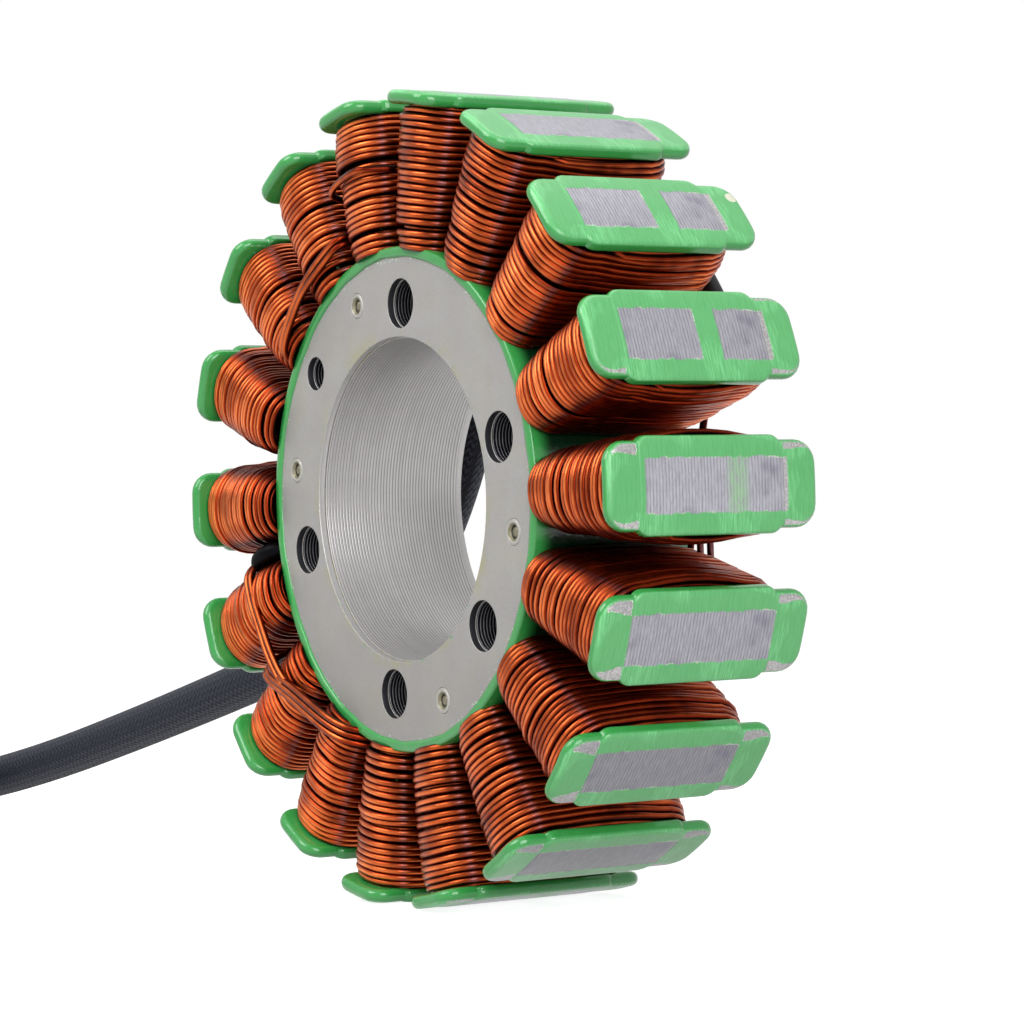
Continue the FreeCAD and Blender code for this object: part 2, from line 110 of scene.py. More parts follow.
# The windings: how far they stand out from the neck's sides and ends, at the ring and at the shoe
WIRE = 0.52 * MM
SIDE_BUILD = (2.0 * MM, 3.8 * MM)
FRONT_BUILD = (1.6 * MM, 2.0 * MM)
REAR_BUILD = (2.0 * MM, 2.4 * MM)
TURNS = 20
# How deep the second layer of turns and the body lie under the first layer
SECOND_LAYER = 0.85 * MM
BODY_DEPTH = 2.1 * MM
# How many turns lie close together before each open groove, from the ring outwards, where the
# photograph shows it; the other coils get grooves of their own.
GROUPS = {
    0: (2, 5, 1, 5, 7),
    1: (4, 4, 12),
    2: (3, 10, 7),
    4: (3, 17),
    5: (3, 5, 5, 7),
    6: (2, 3, 7, 8),
    7: (2, 3, 5, 10),
    8: (2, 3, 6, 9),
    9: (1, 2, 2, 4, 11),
    10: (2, 1, 3, 4, 10),
    17: (4, 1, 4, 11),
}
# The width of an open groove: where the photograph shows it, on the other coils, and behind
SEEN_GROOVE = 0.62 * MM
OTHER_GROOVE = 0.35 * MM
REAR_GROOVE = 0.3 * MM
# The coils whose middle turns stand out in front, and by how much
BELLY = {7: 0.5 * MM, 8: 1.2 * MM, 9: 1.3 * MM, 10: 0.8 * MM}
# The enamel on these coils is painted darker than on the others, as painted shade.
SHADED_COILS = (0, 3, 4, 14, 15, 16, 17)
SHADED_TINTS = (-0.1, 0.5)
LIGHT_TINTS = (0.25, 1.0)
# The power of the ovals at a turn's two ends: 1 is a half circle, less is squarer.
END_POWER = 0.86

# Wires that cross in front from one coil to the next: radius, angle and how deep each bend lies
UPPER_CROSSING = [(41.8, 109.0, 6.0), (41.5, 107.6, 1.5), (39.6, 115.7, 0.0), (39.5, 124.6, 0.0),
                  (39.0, 131.4, 0.0), (38.3, 137.8, 0.0), (37.8, 142.5, 0.4), (37.7, 145.0, 3.0)]
MIDDLE_CROSSING = [(45.2, 190.0, 6.0), (45.0, 191.8, 1.0), (43.6, 199.3, 0.0), (42.7, 206.5, 0.0),
                   (42.4, 211.7, 0.0), (42.1, 217.3, 0.0), (41.6, 222.0, 0.3), (41.4, 225.0, 3.0)]
LOWER_CROSSING = [(46.2, 210.0, 6.0), (46.0, 212.5, 1.0), (44.6, 216.5, 0.0), (41.4, 223.1, 0.0),
                  (38.9, 233.0, 0.0), (37.8, 243.0, 0.2), (37.6, 249.0, 2.0), (37.8, 251.0, 7.0)]
LOOSE_TURN = [(47.8, 108.8, 6.0), (48.1, 106.8, 1.0), (48.5, 104.3, 0.0), (48.9, 101.9, 0.0),
              (49.0, 98.9, 0.0), (49.2, 96.1, 0.0), (49.2, 93.5, 0.8), (49.2, 91.5, 5.0)]
# The black sleeves between two coils on the left: radius, angle and Y of each bend
SLEEVE_RADIUS = 1.35 * MM
SLOT_SLEEVES = [
    [(46.4, 191.6, 2.0), (46.3, 191.6, -9.0), (45.7, 191.8, -12.0), (44.6, 191.6, -13.0),
     (43.5, 190.7, -13.4), (40.2, 189.8, -12.8), (38.9, 189.8, -9.0), (38.8, 189.8, 2.0)],
    [(46.4, 189.4, 2.0), (45.6, 189.4, -8.0), (44.1, 189.6, -11.4), (41.5, 190.0, -12.0),
     (39.4, 190.2, -10.5), (38.9, 190.2, 2.0)],
]

# The leads behind the coils
LEAD_RADIUS = 1.3 * MM
JOINT_RADIUS = 1.48 * MM
LEAD_CIRCLES = (41.2 * MM, 44.5 * MM, 47.8 * MM)
LEAD_HEIGHT = 17.1 * MM
FAN_ANGLE = 98.0
JOINT_ANGLES = (82.0, 62.0, 42.0)
JOINT_SPAN = 22.0
# The three phases' wires inside the coils' roots: their circles and the slots where they begin
LINK_CIRCLES = (34.1 * MM, 35.4 * MM, 36.6 * MM)
LINK_HEIGHT = 14.0 * MM
LINK_WIRE = 0.55 * MM
SLOT_ANGLES = (50.0, 30.0, 10.0)
LINK_SPAN = 300.0
# Two straight ends of wire in the slot below the first pole: where they stand along the axis
TAIL_ENDS = (12.25 * MM, 14.0 * MM)
TAIL_CIRCLE = 41.0 * MM
TAIL_ANGLE = -10.0

# The cable: its route as in the part's source, its coil and its last stretch
CABLE_RADIUS = 4.1 * MM
WEAVE_STRANDS = 20
WEAVE_PITCH = 1.6 * MM
PLUG_EDGE = 0.6 * MM
CABLE_ROUTE = [
    (-0.0155, 0.0209, 0.0400),
    (-0.0320, 0.0219, 0.0168),
    (-0.0460, 0.0228, -0.0042),
    (-0.0630, 0.0232, -0.0180),
    (-0.0980, 0.0220, -0.0272),
    (-0.1500, 0.0206, -0.0390),
    (-0.2000, 0.0190, -0.0494),
    (-0.2400, 0.0165, -0.0557),
]
COIL_MIDDLE = (-0.2400, -0.0245)
COIL_RADIUS = 0.0410
TAIL_ROUTE = [
    (-0.2400, -0.0655, -0.0475),
    (-0.1960, -0.0648, -0.0479),
    (-0.1740, -0.0586, -0.0533),
    (-0.1520, -0.0586, -0.0533),
]


def spot(radius, degrees, along):
    """A point by its distance from the axis, its angle from +X towards +Z, and its Y."""
    turn = math.radians(degrees)
    return Vector((radius * math.cos(turn), along, radius * math.sin(turn)))


def about_axis(degrees):
    """The turn that takes a piece made on +X round to another pole."""
    return Matrix.Rotation(math.radians(degrees), 4, Vector((0, -1, 0)))


def blend(low, high, share):
    return low + (high - low) * share


# Meshes


class Shape:
    """Vertices and faces gathered from several simple forms, with named numbers per vertex."""

    def __init__(self):
        self.points, self.faces = [], []
        self.numbers = {}
        self.count = 0

    def add(self, points, faces, **numbers):
        for label, values in numbers.items():
            stretch = (self.count, np.broadcast_to(values, len(points)))
            self.numbers.setdefault(label, []).append(stretch)
        self.points.append(np.asarray(points, float))
        self.faces.extend([tuple(corner + self.count for corner in face) for face in faces])
        self.count += len(points)

    def piece(self, name, materials, smooth=True):
        mesh = bpy.data.meshes.new(name)
        mesh.from_pydata(np.concatenate(self.points).tolist(), [], self.faces)
        for label, stretches in self.numbers.items():
            column = np.zeros(self.count, np.float32)
            for start, values in stretches:
                column[start : start + len(values)] = values
            mesh.attributes.new(label, "FLOAT", "POINT").data.foreach_set("value", column)
        mesh.polygons.foreach_set("use_smooth", [smooth] * len(mesh.polygons))
        mesh.update()
        return new_piece(name, mesh, materials)


def new_object(name, data):
    made = bpy.data.objects.new(name, data)
    bpy.context.scene.collection.objects.link(made)
    return made


def new_piece(name, mesh, materials):
    piece = new_object(name, mesh)
    for material in materials if isinstance(materials, list) else [materials]:
        mesh.materials.append(material)
    return piece


def place(piece, slot, *nodes):
    """The piece rides on the stator and hides the CAD nodes that it stands for; the slot is not
    used.
    """
    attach(piece, "root")
    if nodes:
        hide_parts(*nodes)
    return piece


def grid(rows, count, wrap=False):
    """The quads between closed rows of points, and from the last row to the first if they wrap."""
    faces = []
    for row in range(rows if wrap else rows - 1):
        here, there = row * count, (row + 1) % rows * count
        for number in range(count):
            after = (number + 1) % count
            faces.append((here + number, here + after, there + after, there + number))
    return faces


def tube(points, radius, sides, outward=None):
    """A round tube along an open path: its points, its faces and three numbers per vertex.

    around goes from 0 to 1 round the section, along is the distance travelled, and crest is 1 where
    the surface faces outward, the direction given for each point of the path, and -1 behind.
    """
    path = np.asarray(points, float)
    ahead = np.diff(path, axis=0)
    lengths = np.linalg.norm(ahead, axis=1)
    ahead /= lengths[:, None]
    run = np.vstack([ahead[:1], ahead[:-1] + ahead[1:], ahead[-1:]])
    run /= np.linalg.norm(run, axis=1)[:, None]
    start = np.cross(run[0], (0.31, 0.95, 0.07))
    across = np.empty_like(path)
    across[0] = start / np.linalg.norm(start)
    for number in range(1, len(path)):
        side = across[number - 1] - run[number] * np.dot(across[number - 1], run[number])
        across[number] = side / np.linalg.norm(side)
    other = np.cross(run, across)
    turns = 2 * np.pi * np.arange(sides) / sides
    cosines, sines = np.cos(turns)[None, :, None], np.sin(turns)[None, :, None]
    away = cosines * across[:, None] + sines * other[:, None]
    rings = path[:, None] + radius * away
    rows = len(path)
    faces = grid(rows, sides)
    faces.append(tuple(range(sides - 1, -1, -1)))
    faces.append(tuple(range((rows - 1) * sides, rows * sides)))
    numbers = {
        "around": np.tile(turns / (2 * np.pi), rows),
        "along": np.repeat(np.concatenate([[0], np.cumsum(lengths)]), sides),
    }
    if outward is not None:
        numbers["crest"] = np.einsum("rsk,rk->rs", away, np.asarray(outward, float)).reshape(-1)
    return rings.reshape(-1, 3), faces, numbers


def revolved(profile, steps, wobble):
    """A closed profile of (radius, along) points carried once round the axis, with a wobble."""
    points = []
    for step in range(steps):
        degrees = 360 * step / steps
        for number, (radius, along) in enumerate(profile):
            points.append(spot(radius + wobble(degrees, number), degrees, along))
    return points, grid(steps, len(profile), wrap=True)


# Materials


class Value:
    """A node's output to reckon with: each sign and each method adds a node."""

    def __init__(self, paint, socket):
        self.paint, self.socket = paint, socket

    def __add__(self, other):
        return self.paint.math("ADD", self, other)

    def __sub__(self, other):
        return self.paint.math("SUBTRACT", self, other)

    def __rsub__(self, other):
        return self.paint.math("SUBTRACT", other, self)

    def __mul__(self, other):
        return self.paint.math("MULTIPLY", self, other)

    def __truediv__(self, other):
        return self.paint.math("DIVIDE", self, other)

    def __abs__(self):
        return self.paint.math("ABSOLUTE", self)

    def larger(self, other):
        return self.paint.math("MAXIMUM", self, other)

    def ranged(self, low, high):
        """A value from 0 to 1 carried to the range from low to high."""
        return self.paint.math("MULTIPLY_ADD", self, high - low, low)

    def fade(self, low, high):
        """0 at low, 1 at high, smooth between and held outside."""
        inputs = {"Value": self, "From Min": low, "From Max": high}
        return self.paint.value("ShaderNodeMapRange", inputs, interpolation_type="SMOOTHSTEP")

    def noise(self, scale, detail=2.0, roughness=0.5, stretch=None):
        where = self
        if stretch:
            inputs = {0: self, 1: stretch}
            where = self.paint.value("ShaderNodeVectorMath", inputs, operation="MULTIPLY")
        inputs = {"Vector": where, "Scale": scale, "Detail": detail, "Roughness": roughness}
        return self.paint.value("ShaderNodeTexNoise", inputs, "Fac")

    def bump(self, distance, normal=None):
        """Relief from a height of 0 to 1 that stands for a distance in millimetres."""
        inputs = {"Strength": 1.0, "Distance": distance * MM, "Height": self, "Normal": normal}
        return self.paint.value("ShaderNodeBump", inputs)


class Paint:
    """A node material, which gives back the outputs of its nodes as values."""

    def __init__(self, name):
        self.material = bpy.data.materials.new(name)
        self.material.use_nodes = True
        self.tree = self.material.node_tree
        self.shader = self.tree.nodes["Principled BSDF"]

    def node(self, kind, inputs, **settings):
        """A new node with its settings, and its inputs fed by name or number."""
        node = self.tree.nodes.new(kind)
        for name, value in settings.items():
            setattr(node, name, value)
        for name, value in inputs.items():
            self.feed(node.inputs[name], value)
        return node

    def feed(self, socket, value):
        value = getattr(value, "socket", value)
        if isinstance(value, bpy.types.NodeSocket):
            self.tree.links.new(value, socket)
        elif value is not None:
            socket.default_value = value

    def value(self, kind, inputs, output=0, **settings):
        return Value(self, self.node(kind, inputs, **settings).outputs[output])

    def math(self, operation, *values):
        return self.value("ShaderNodeMath", dict(enumerate(values)), operation=operation)

    def attribute(self, name):
        return self.value("ShaderNodeAttribute", {}, "Fac", attribute_name=name)

    def distance(self, first, second):
        """The length of a line from its two distances along square directions."""
        return self.math("SQRT", first * first + second * second)

    def place(self):
        """The point's place in the piece's own frame, in millimetres, whole and as x, y and z."""
        inputs = {0: self.value("ShaderNodeTexCoord", {}, "Object"), "Scale": 1 / MM}
        scaled = self.value("ShaderNodeVectorMath", inputs, operation="SCALE")
        split = self.node("ShaderNodeSeparateXYZ", {0: scaled})
        return [scaled] + [Value(self, socket) for socket in split.outputs]

    def mix(self, share, first, second):
        node = self.node("ShaderNodeMix", {"Factor": share}, data_type="RGBA")
        sockets = [socket for socket in node.inputs if socket.type == "RGBA"]
        for socket, colour in zip(sockets, (first, second)):
            self.feed(socket, colour if isinstance(colour, Value) else (*colour, 1.0))
        return Value(self, next(socket for socket in node.outputs if socket.type == "RGBA"))

    def finish(self, **sockets):
        for name, value in sockets.items():
            label = name.replace("_", " ").title().replace("Ior", "IOR")
            self.feed(self.shader.inputs[label], value)
        return self.material


def srgb(red, green, blue):
    """A colour as it looks on a screen, from 0 to 255, as the light that it stands for."""
    shares = [channel / 255 for channel in (red, green, blue)]
    return tuple(c / 12.92 if c <= 0.04045 else ((c + 0.055) / 1.055) ** 2.4 for c in shares)


def darker(colour, share):
    return tuple(share * channel for channel in colour)


def lamination_lines(paint, along, low, high):
    """0 on a lamination and 1 in the line between it and the next, along the stack."""
    wave = paint.math("SINE", along * (2 * math.pi * MM / LAMINATION))
    return wave.ranged(0.5, 1.0).fade(low, high)


def bare_steel():
    """The ground ring: a fine matt grain, faint stains, a few specks of coat near its edges, and
    painted shade towards its bottom.
    """
    paint = Paint("bare_steel")
    where, out, _, up = paint.place()
    grain = where.noise(7.0, 3.0, 0.75)
    cloud = where.noise(0.16, 2.0)
    radius = paint.distance(out, up)
    by_bore = radius.fade(BORE_RADIUS / MM + 2.6, BORE_RADIUS / MM)
    by_coat = radius.fade(BARE_RADIUS / MM - 1.6, BARE_RADIUS / MM)
    stain = where.noise(0.15, 3.0, 0.6).fade(0.42, 0.7)
    stain = stain * by_bore.ranged(0.18, 0.8)
    speck = where.noise(2.2, 2.0, 0.6).fade(0.64, 0.68)
    crumb = speck * by_coat.fade(0.6, 0.9)
    speck = speck * (by_bore.fade(0.6, 0.9) * 0.8)
    colour = paint.mix(cloud, srgb(160, 157, 155), srgb(178, 176, 174))
    colour = paint.mix(grain.ranged(-0.35, 0.85), colour, srgb(122, 120, 120))
    # Painted shade: the face is painted darker towards the bottom of the ring.
    colour = paint.mix(up.fade(-8.0, -32.0) * 0.22, colour, srgb(118, 114, 112))
    colour = paint.mix(stain, colour, srgb(158, 154, 116))
    colour = paint.mix(speck, colour, srgb(70, 150, 84))
    colour = paint.mix(crumb, colour, srgb(196, 220, 196))
    return paint.finish(
        base_color=colour,
        metallic=0.45,
        roughness=grain.ranged(0.46, 0.62),
        normal=grain.bump(0.03),
    )


def laminated_steel(name, base, line, span, roughness, relief):
    """Edges of the stack, with a line in another tone between one lamination and the next, and
    painted shade towards the top.
    """
    paint = Paint(name)
    where, _, along, up = paint.place()
    lines = lamination_lines(paint, along, *span)
    # Painted shade: the walls are painted darker high up, towards the top of the bore.
    painted_top_shade = up.fade(4.0, BORE_RADIUS / MM) * 0.3
    cloud = where.noise(0.22, 3.0, 0.6)
    each = where.noise(1.0, 1.0, stretch=(0.05, 1.9, 0.05))
    patchy = where.noise(0.8, 2.0, stretch=(1.0, 0.25, 1.0))
    colour = paint.mix(cloud, base, darker(base, 0.8))
    colour = paint.mix(each.ranged(-0.3, 0.7), colour, darker(base, 0.66))
    colour = paint.mix(lines * patchy.ranged(0.75, 1.1), colour, line)
    colour = paint.mix(painted_top_shade, colour, darker(base, 0.45))
    return paint.finish(
        base_color=colour,
        metallic=0.6,
        roughness=cloud.ranged(roughness - 0.05, roughness + 0.08),
        normal=lines.bump(relief),
    )


COAT_DEEP = srgb(34, 142, 58)
COAT_PALE = srgb(108, 187, 121)
COAT_RUBBED = srgb(122, 208, 138)
GROUND = srgb(178, 176, 185)


def outside(value, middle, half):
    """How far a place is past a band's edge: below 0 inside, above 0 outside."""
    return abs(value - middle) - half


def coat(name, patches=(), scrapes=(), chip=None, smears=(), painted_light_tone=1.0, slots=False):
    """Powder coat, with the patches of a shoe's face that were ground bare, its scrapes and chip.

    A patch is (from, to, half-width) along the shoe. A scrape is the end of a tab (-1 in front,
    1 behind), the side (-1 or 1) and how far it reaches in from the rim. The chip is (along,
    across, length, width). A smear of coat left on the ground steel is (along, length). A tone
    under 1 paints shade on the ground steel, over 1 it paints light on it. Where the coat lines
    the slots, painted shade makes it nearly black-green away from the ring's two faces.
    """
    paint = Paint(name)
    where, out, along, across = paint.place()
    cloud = where.noise(0.3, 3.0, 0.6)
    streaks = where.noise(1.1, 4.0, 0.7, stretch=(1.0, 4.0, 0.3))
    blotch = where.noise(0.13, 1.0).fade(0.5, 0.56)
    face = out.fade(TIP_RADIUS / MM - 0.8, TIP_RADIUS / MM - 0.45)
    worn = face * streaks.fade(0.2, 0.75).ranged(0.4, 0.8)
    rubbed = face * (blotch * streaks.fade(0.35, 0.75))
    colour = paint.mix(cloud.ranged(0.0, 0.3), COAT_DEEP, COAT_PALE)
    if slots:
        # Painted shade: deep in the slots, away from the ring's two faces, the coat is painted
        # nearly black-green.
        radius = paint.distance(out, across)
        slot_shade = radius.fade(YOKE_RADIUS / MM - 0.5, YOKE_RADIUS / MM - 0.05)
        slot_shade = slot_shade * outside(along, 0.0, 10.0).fade(2.6, -0.2)
        colour = paint.mix(slot_shade * 0.96, colour, srgb(3, 28, 15))
    colour = paint.mix(worn, colour, COAT_PALE)
    colour = paint.mix(rubbed, colour, COAT_RUBBED)
    roughness = worn.ranged(0.16, 0.45)
    wander = where.noise(0.7, 4.0, 0.7).ranged(-0.45, 0.45)
    crumbs = where.noise(3.5, 2.0, 0.6).ranged(-0.35, 0.35)
    relief = cloud.bump(0.08)
    regions = []
    for start, end, half in patches:
        beyond = outside(along, (start + end) / 2, (end - start) / 2)
        aside = outside(across, 0.0, half) + wander
        ragged = paint.math("MULTIPLY_ADD", wander, 0.35, beyond.larger(aside))
        regions.append(ragged.fade(0.2, -0.14))
    corner = TAB_CORNER / MM
    for end, side, reach in scrapes:
        edge = (HALF_STACK - END_PLATE + (0.0 if end < 0 else REAR_STEP)) / MM
        length = ((FRONT_TAB if end < 0 else REAR_TAB) + HALF_STACK) / MM - edge
        far = along * float(end) - edge
        wide = TAB_WIDTH / MM / 2 - across * float(side)
        past = (far - (length - corner)).larger(0.0)
        beside = (corner - wide).larger(0.0)
        rim = corner - paint.distance(past, beside)
        taper = far * far * (1 / (length - 0.9) ** 2)
        thick = paint.math("MULTIPLY_ADD", taper, -reach, reach + 0.45)
        inside = (rim - thick).larger(0.45 - rim)
        inside = inside.larger(0.05 - far)
        inside = inside.larger(wide - (corner - 0.1))
        regions.append((inside + wander * 0.7).fade(0.1, -0.1))
    if not regions:
        return paint.finish(base_color=colour, roughness=roughness, normal=relief)
    bare = regions[0]
    for region in regions[1:]:
        bare = bare.larger(region)
    fringe = bare * 4.0 * (1.0 - bare)
    bare = bare * out.fade(TIP_RADIUS / MM - 0.95, TIP_RADIUS / MM - 0.6)
    lines = lamination_lines(paint, along, 0.35, 0.95)
    broken = where.noise(1.0, 3.0, 0.7, stretch=(1.0, 1.9, 0.35))
    lines = lines * broken.fade(0.2, 0.65)
    lines = lines * outside(along, 0.35, 12.1).fade(0.1, -0.1)
    scratch = where.noise(1.4, 4.0, 0.75, stretch=(1.0, 2.4, 0.4))
    smudge = where.noise(0.16, 2.0).fade(0.52, 0.72)
    # The tone paints shade (under 1) or light (over 1) on the ground steel.
    ground = darker(GROUND, painted_light_tone)
    steel = paint.mix(scratch.fade(0.25, 0.75), darker(ground, 0.66), ground)
    steel = paint.mix(lines * 0.7, steel, darker(ground, 0.42))
    steel = paint.mix(smudge * 0.6, steel, srgb(92, 90, 112))
    for at, length in smears:
        left = outside(along, at, length / 2).fade(0.5, -1.0)
        left = left * scratch.fade(0.3, 0.6)
        steel = paint.mix(left * 0.65, steel, srgb(132, 190, 128))
    crusty = paint.mix(crumbs.fade(-0.1, 0.12), srgb(150, 146, 142), srgb(204, 201, 196))
    on_tab = outside(along, 0.35, 12.1).fade(-0.1, 0.1)
    steel = paint.mix(on_tab * (0.65 * min(painted_light_tone, 1.0)), steel, crusty)
    colour = paint.mix(bare, colour, steel)
    here_and_there = where.noise(0.35, 2.0).fade(0.5, 0.6)
    specks = fringe.fade(0.1, 0.6) * crumbs.fade(-0.05, 0.1) * here_and_there
    colour = paint.mix(specks * 0.75, colour, srgb(216, 216, 204))
    if chip:
        at, side, length, width = chip
        far, wide = (along - at) / (length / 2), (across - side) / (width / 2)
        chipped = (far * far + wide * wide + wander).fade(0.95, 0.8)
        colour = paint.mix(chipped, colour, srgb(216, 216, 194))
    roughness = paint.math("MULTIPLY_ADD", bare, 0.36 - roughness, roughness)
    relief = (bare * lines.ranged(0.7, 1.0)).bump(-0.07, normal=relief)
    return paint.finish(base_color=colour, metallic=bare * 0.55, roughness=roughness, normal=relief)


def enamel():
    """Clear amber enamel over copper, with a painted highlight on a wire's crest and painted shade,
    dark brown, down its sides.
    """
    paint = Paint("enamelled_copper")
    where, *_ = paint.place()
    tint = paint.attribute("tint")
    rise = paint.attribute("crest")
    sheen = paint.attribute("sheen")
    cloud = where.noise(0.5, 2.0)
    patch = where.noise(0.17, 2.0, 0.6).fade(0.32, 0.62)
    share = tint * 0.7 + cloud * 0.3
    # Painted highlight: the sheen, broken up by patches, sets where the highlight on the crests is
    # bright.
    lustre = sheen * patch.ranged(0.35, 1.0)
    body = paint.mix(share, srgb(66, 17, 8), srgb(150, 47, 18))
    # Painted shade: where the sheen is low, at a coil's sides, the body is painted darker.
    body = paint.mix(lustre.fade(0.0, 0.4), srgb(58, 16, 12), body)
    bright = paint.mix(share, srgb(196, 84, 38), srgb(255, 146, 80))
    # Painted shade down each wire's sides and between the turns, and a painted highlight on its
    # crest.
    colour = paint.mix(rise.fade(-0.1, 0.55), srgb(28, 7, 5), body)
    colour = paint.mix(rise.fade(0.66, 1.0) * lustre, colour, bright)
    # Painted reflection: a pale mauve sheen on the crests at a coil's edges.
    edge = sheen.fade(0.3, 0.0) * rise.fade(0.5, 1.0)
    colour = paint.mix(edge * 0.5, colour, srgb(132, 100, 108))
    return paint.finish(
        base_color=colour,
        metallic=1.0,
        roughness=cloud.ranged(0.26, 0.36),
        normal=where.noise(2.2, 2.0).bump(0.02),
    )


def woven(name, around_count, pitch):
    """A braided sleeve: two sets of flat strands that pass over and under each other, with painted
    shade where they dip.
    """
    paint = Paint(name)
    around = paint.attribute("around") * float(around_count)
    along = paint.attribute("along") / pitch
    waves = [paint.math("SINE", value * math.pi) for value in (around + along, around - along)]
    over = (waves[0] * waves[1]).fade(-0.25, 0.25)
    heights = [paint.math("POWER", abs(wave), 0.6) for wave in waves]
    height = heights[0] * over + heights[1] * (1.0 - over)
    # Painted shade and highlight: the strands are painted darker where they dip and lighter on
    # their crowns.
    colour = paint.mix(height, srgb(5, 6, 9), srgb(40, 44, 58))
    return paint.finish(
        base_color=colour,
        roughness=0.55,
        specular_ior_level=0.18,
        normal=height.bump(0.35),
    )


def plain(name, colour, roughness, metallic=0.0, gloss=0.5, grain=0.02, scale=4.0):
    """A moulded or drawn surface with a fine grain of its own."""
    paint = Paint(name)
    where, *_ = paint.place()
    rough = where.noise(scale, 3.0, 0.6)
    shade = paint.mix(rough, colour, darker(colour, 0.75))
    return paint.finish(
        base_color=shade,
        metallic=metallic,
        specular_ior_level=gloss,
        roughness=rough.ranged(roughness - 0.06, roughness + 0.06),
        normal=rough.bump(grain),
    )


# The stage and the camera


def make_camera():
    data = bpy.data.cameras.new("camera")
    data.lens = CAMERA_LENS
    data.shift_x, data.shift_y = CAMERA_SHIFT
    camera = new_object("camera", data)
    azimuth, elevation = math.radians(CAMERA_AZIMUTH), math.radians(CAMERA_ELEVATION)
    level = math.cos(elevation)
    back = (math.sin(azimuth) * level, -math.cos(azimuth) * level, math.sin(elevation))
    aim = Vector(back).to_track_quat("Z", "Y").to_matrix().to_4x4()
    roll = Matrix.Rotation(math.radians(CAMERA_ROLL), 4, "Z")
    camera.matrix_world = Matrix.Translation(CAMERA_PLACE) @ aim @ roll
    bpy.context.scene.camera = camera


def make_lamp(name, where, size, power):
    data = bpy.data.lights.new(name, "AREA")
    data.shape = "RECTANGLE"
    data.size, data.size_y = size
    data.energy = power
    lamp = new_object(name, data)
    lamp.location = where
    lamp.rotation_euler = Vector(where).to_track_quat("Z", "Y").to_euler()


def white_where_seen(tree, lit, white):
    """Mixes in white for what the camera, gloss and glass see."""
    paths = tree.nodes.new("ShaderNodeLightPath").outputs
    seen = paths["Is Camera Ray"]
    for kind in ("Is Glossy Ray", "Is Transmission Ray"):
        either = tree.nodes.new("ShaderNodeMath")
        either.operation = "MAXIMUM"
        for socket, value in zip(either.inputs, (seen, paths[kind])):
            tree.links.new(value, socket)
        seen = either.outputs[0]
    mix = tree.nodes.new("ShaderNodeMixShader")
    for socket, value in zip(mix.inputs, (seen, lit.outputs[0], white.outputs[0])):
        tree.links.new(value, socket)
    return mix.outputs[0]


def make_stage():
    world = bpy.data.worlds.new("studio")
    bpy.context.scene.world = world
    world.use_nodes = True
    tree = world.node_tree
    lit, white = tree.nodes["Background"], tree.nodes.new("ShaderNodeBackground")
    for background, strength in ((lit, WORLD_LIGHT), (white, 1.0)):
        background.inputs["Color"].default_value = (1, 1, 1, 1)
        background.inputs["Strength"].default_value = strength
    tree.links.new(white_where_seen(tree, lit, white), tree.nodes["World Output"].inputs[0])

    mesh = bpy.data.meshes.new("floor")
    corners = [(-1, -1), (1, -1), (1, 1), (-1, 1)]
    corners = [(x * FLOOR_SPAN, y * FLOOR_SPAN, CAD_LOW.z) for x, y in corners]
    mesh.from_pydata(corners, [], [(0, 1, 2, 3)])
    paint = Paint("pale_floor")
    paint.finish(base_color=(0.5, 0.5, 0.5, 1), roughness=1.0, specular_ior_level=0.0)
    glow = paint.node("ShaderNodeEmission", {"Strength": FLOOR_GLOW}).outputs[0]
    both = paint.node("ShaderNodeAddShader", {0: paint.shader.outputs[0], 1: glow})
    mixed = white_where_seen(paint.tree, paint.shader, both)
    paint.feed(paint.tree.nodes["Material Output"].inputs["Surface"], mixed)
    floor = new_piece("floor", mesh, paint.material)

    make_lamp("key", (-0.1, -0.42, 0.4), (0.35, 0.35), 2.35)
    make_lamp("right", (0.8, -0.3, 0.35), (0.5, 0.6), 6.5)
    make_lamp("top", (-0.1, 0.2, 0.9), (0.5, 0.5), 2.0)


# The core


def circle_spline(curve, radius, middle, steps):
    """A round outline in the plane of a flat curve."""
    spline = curve.splines.new("POLY")
    spline.points.add(steps - 1)
    for number, point in enumerate(spline.points):
        turn = 2 * math.pi * number / steps
        point.co = (middle[0] + radius * math.cos(turn), middle[1] + radius * math.sin(turn), 0, 1)
    spline.use_cyclic_u = True


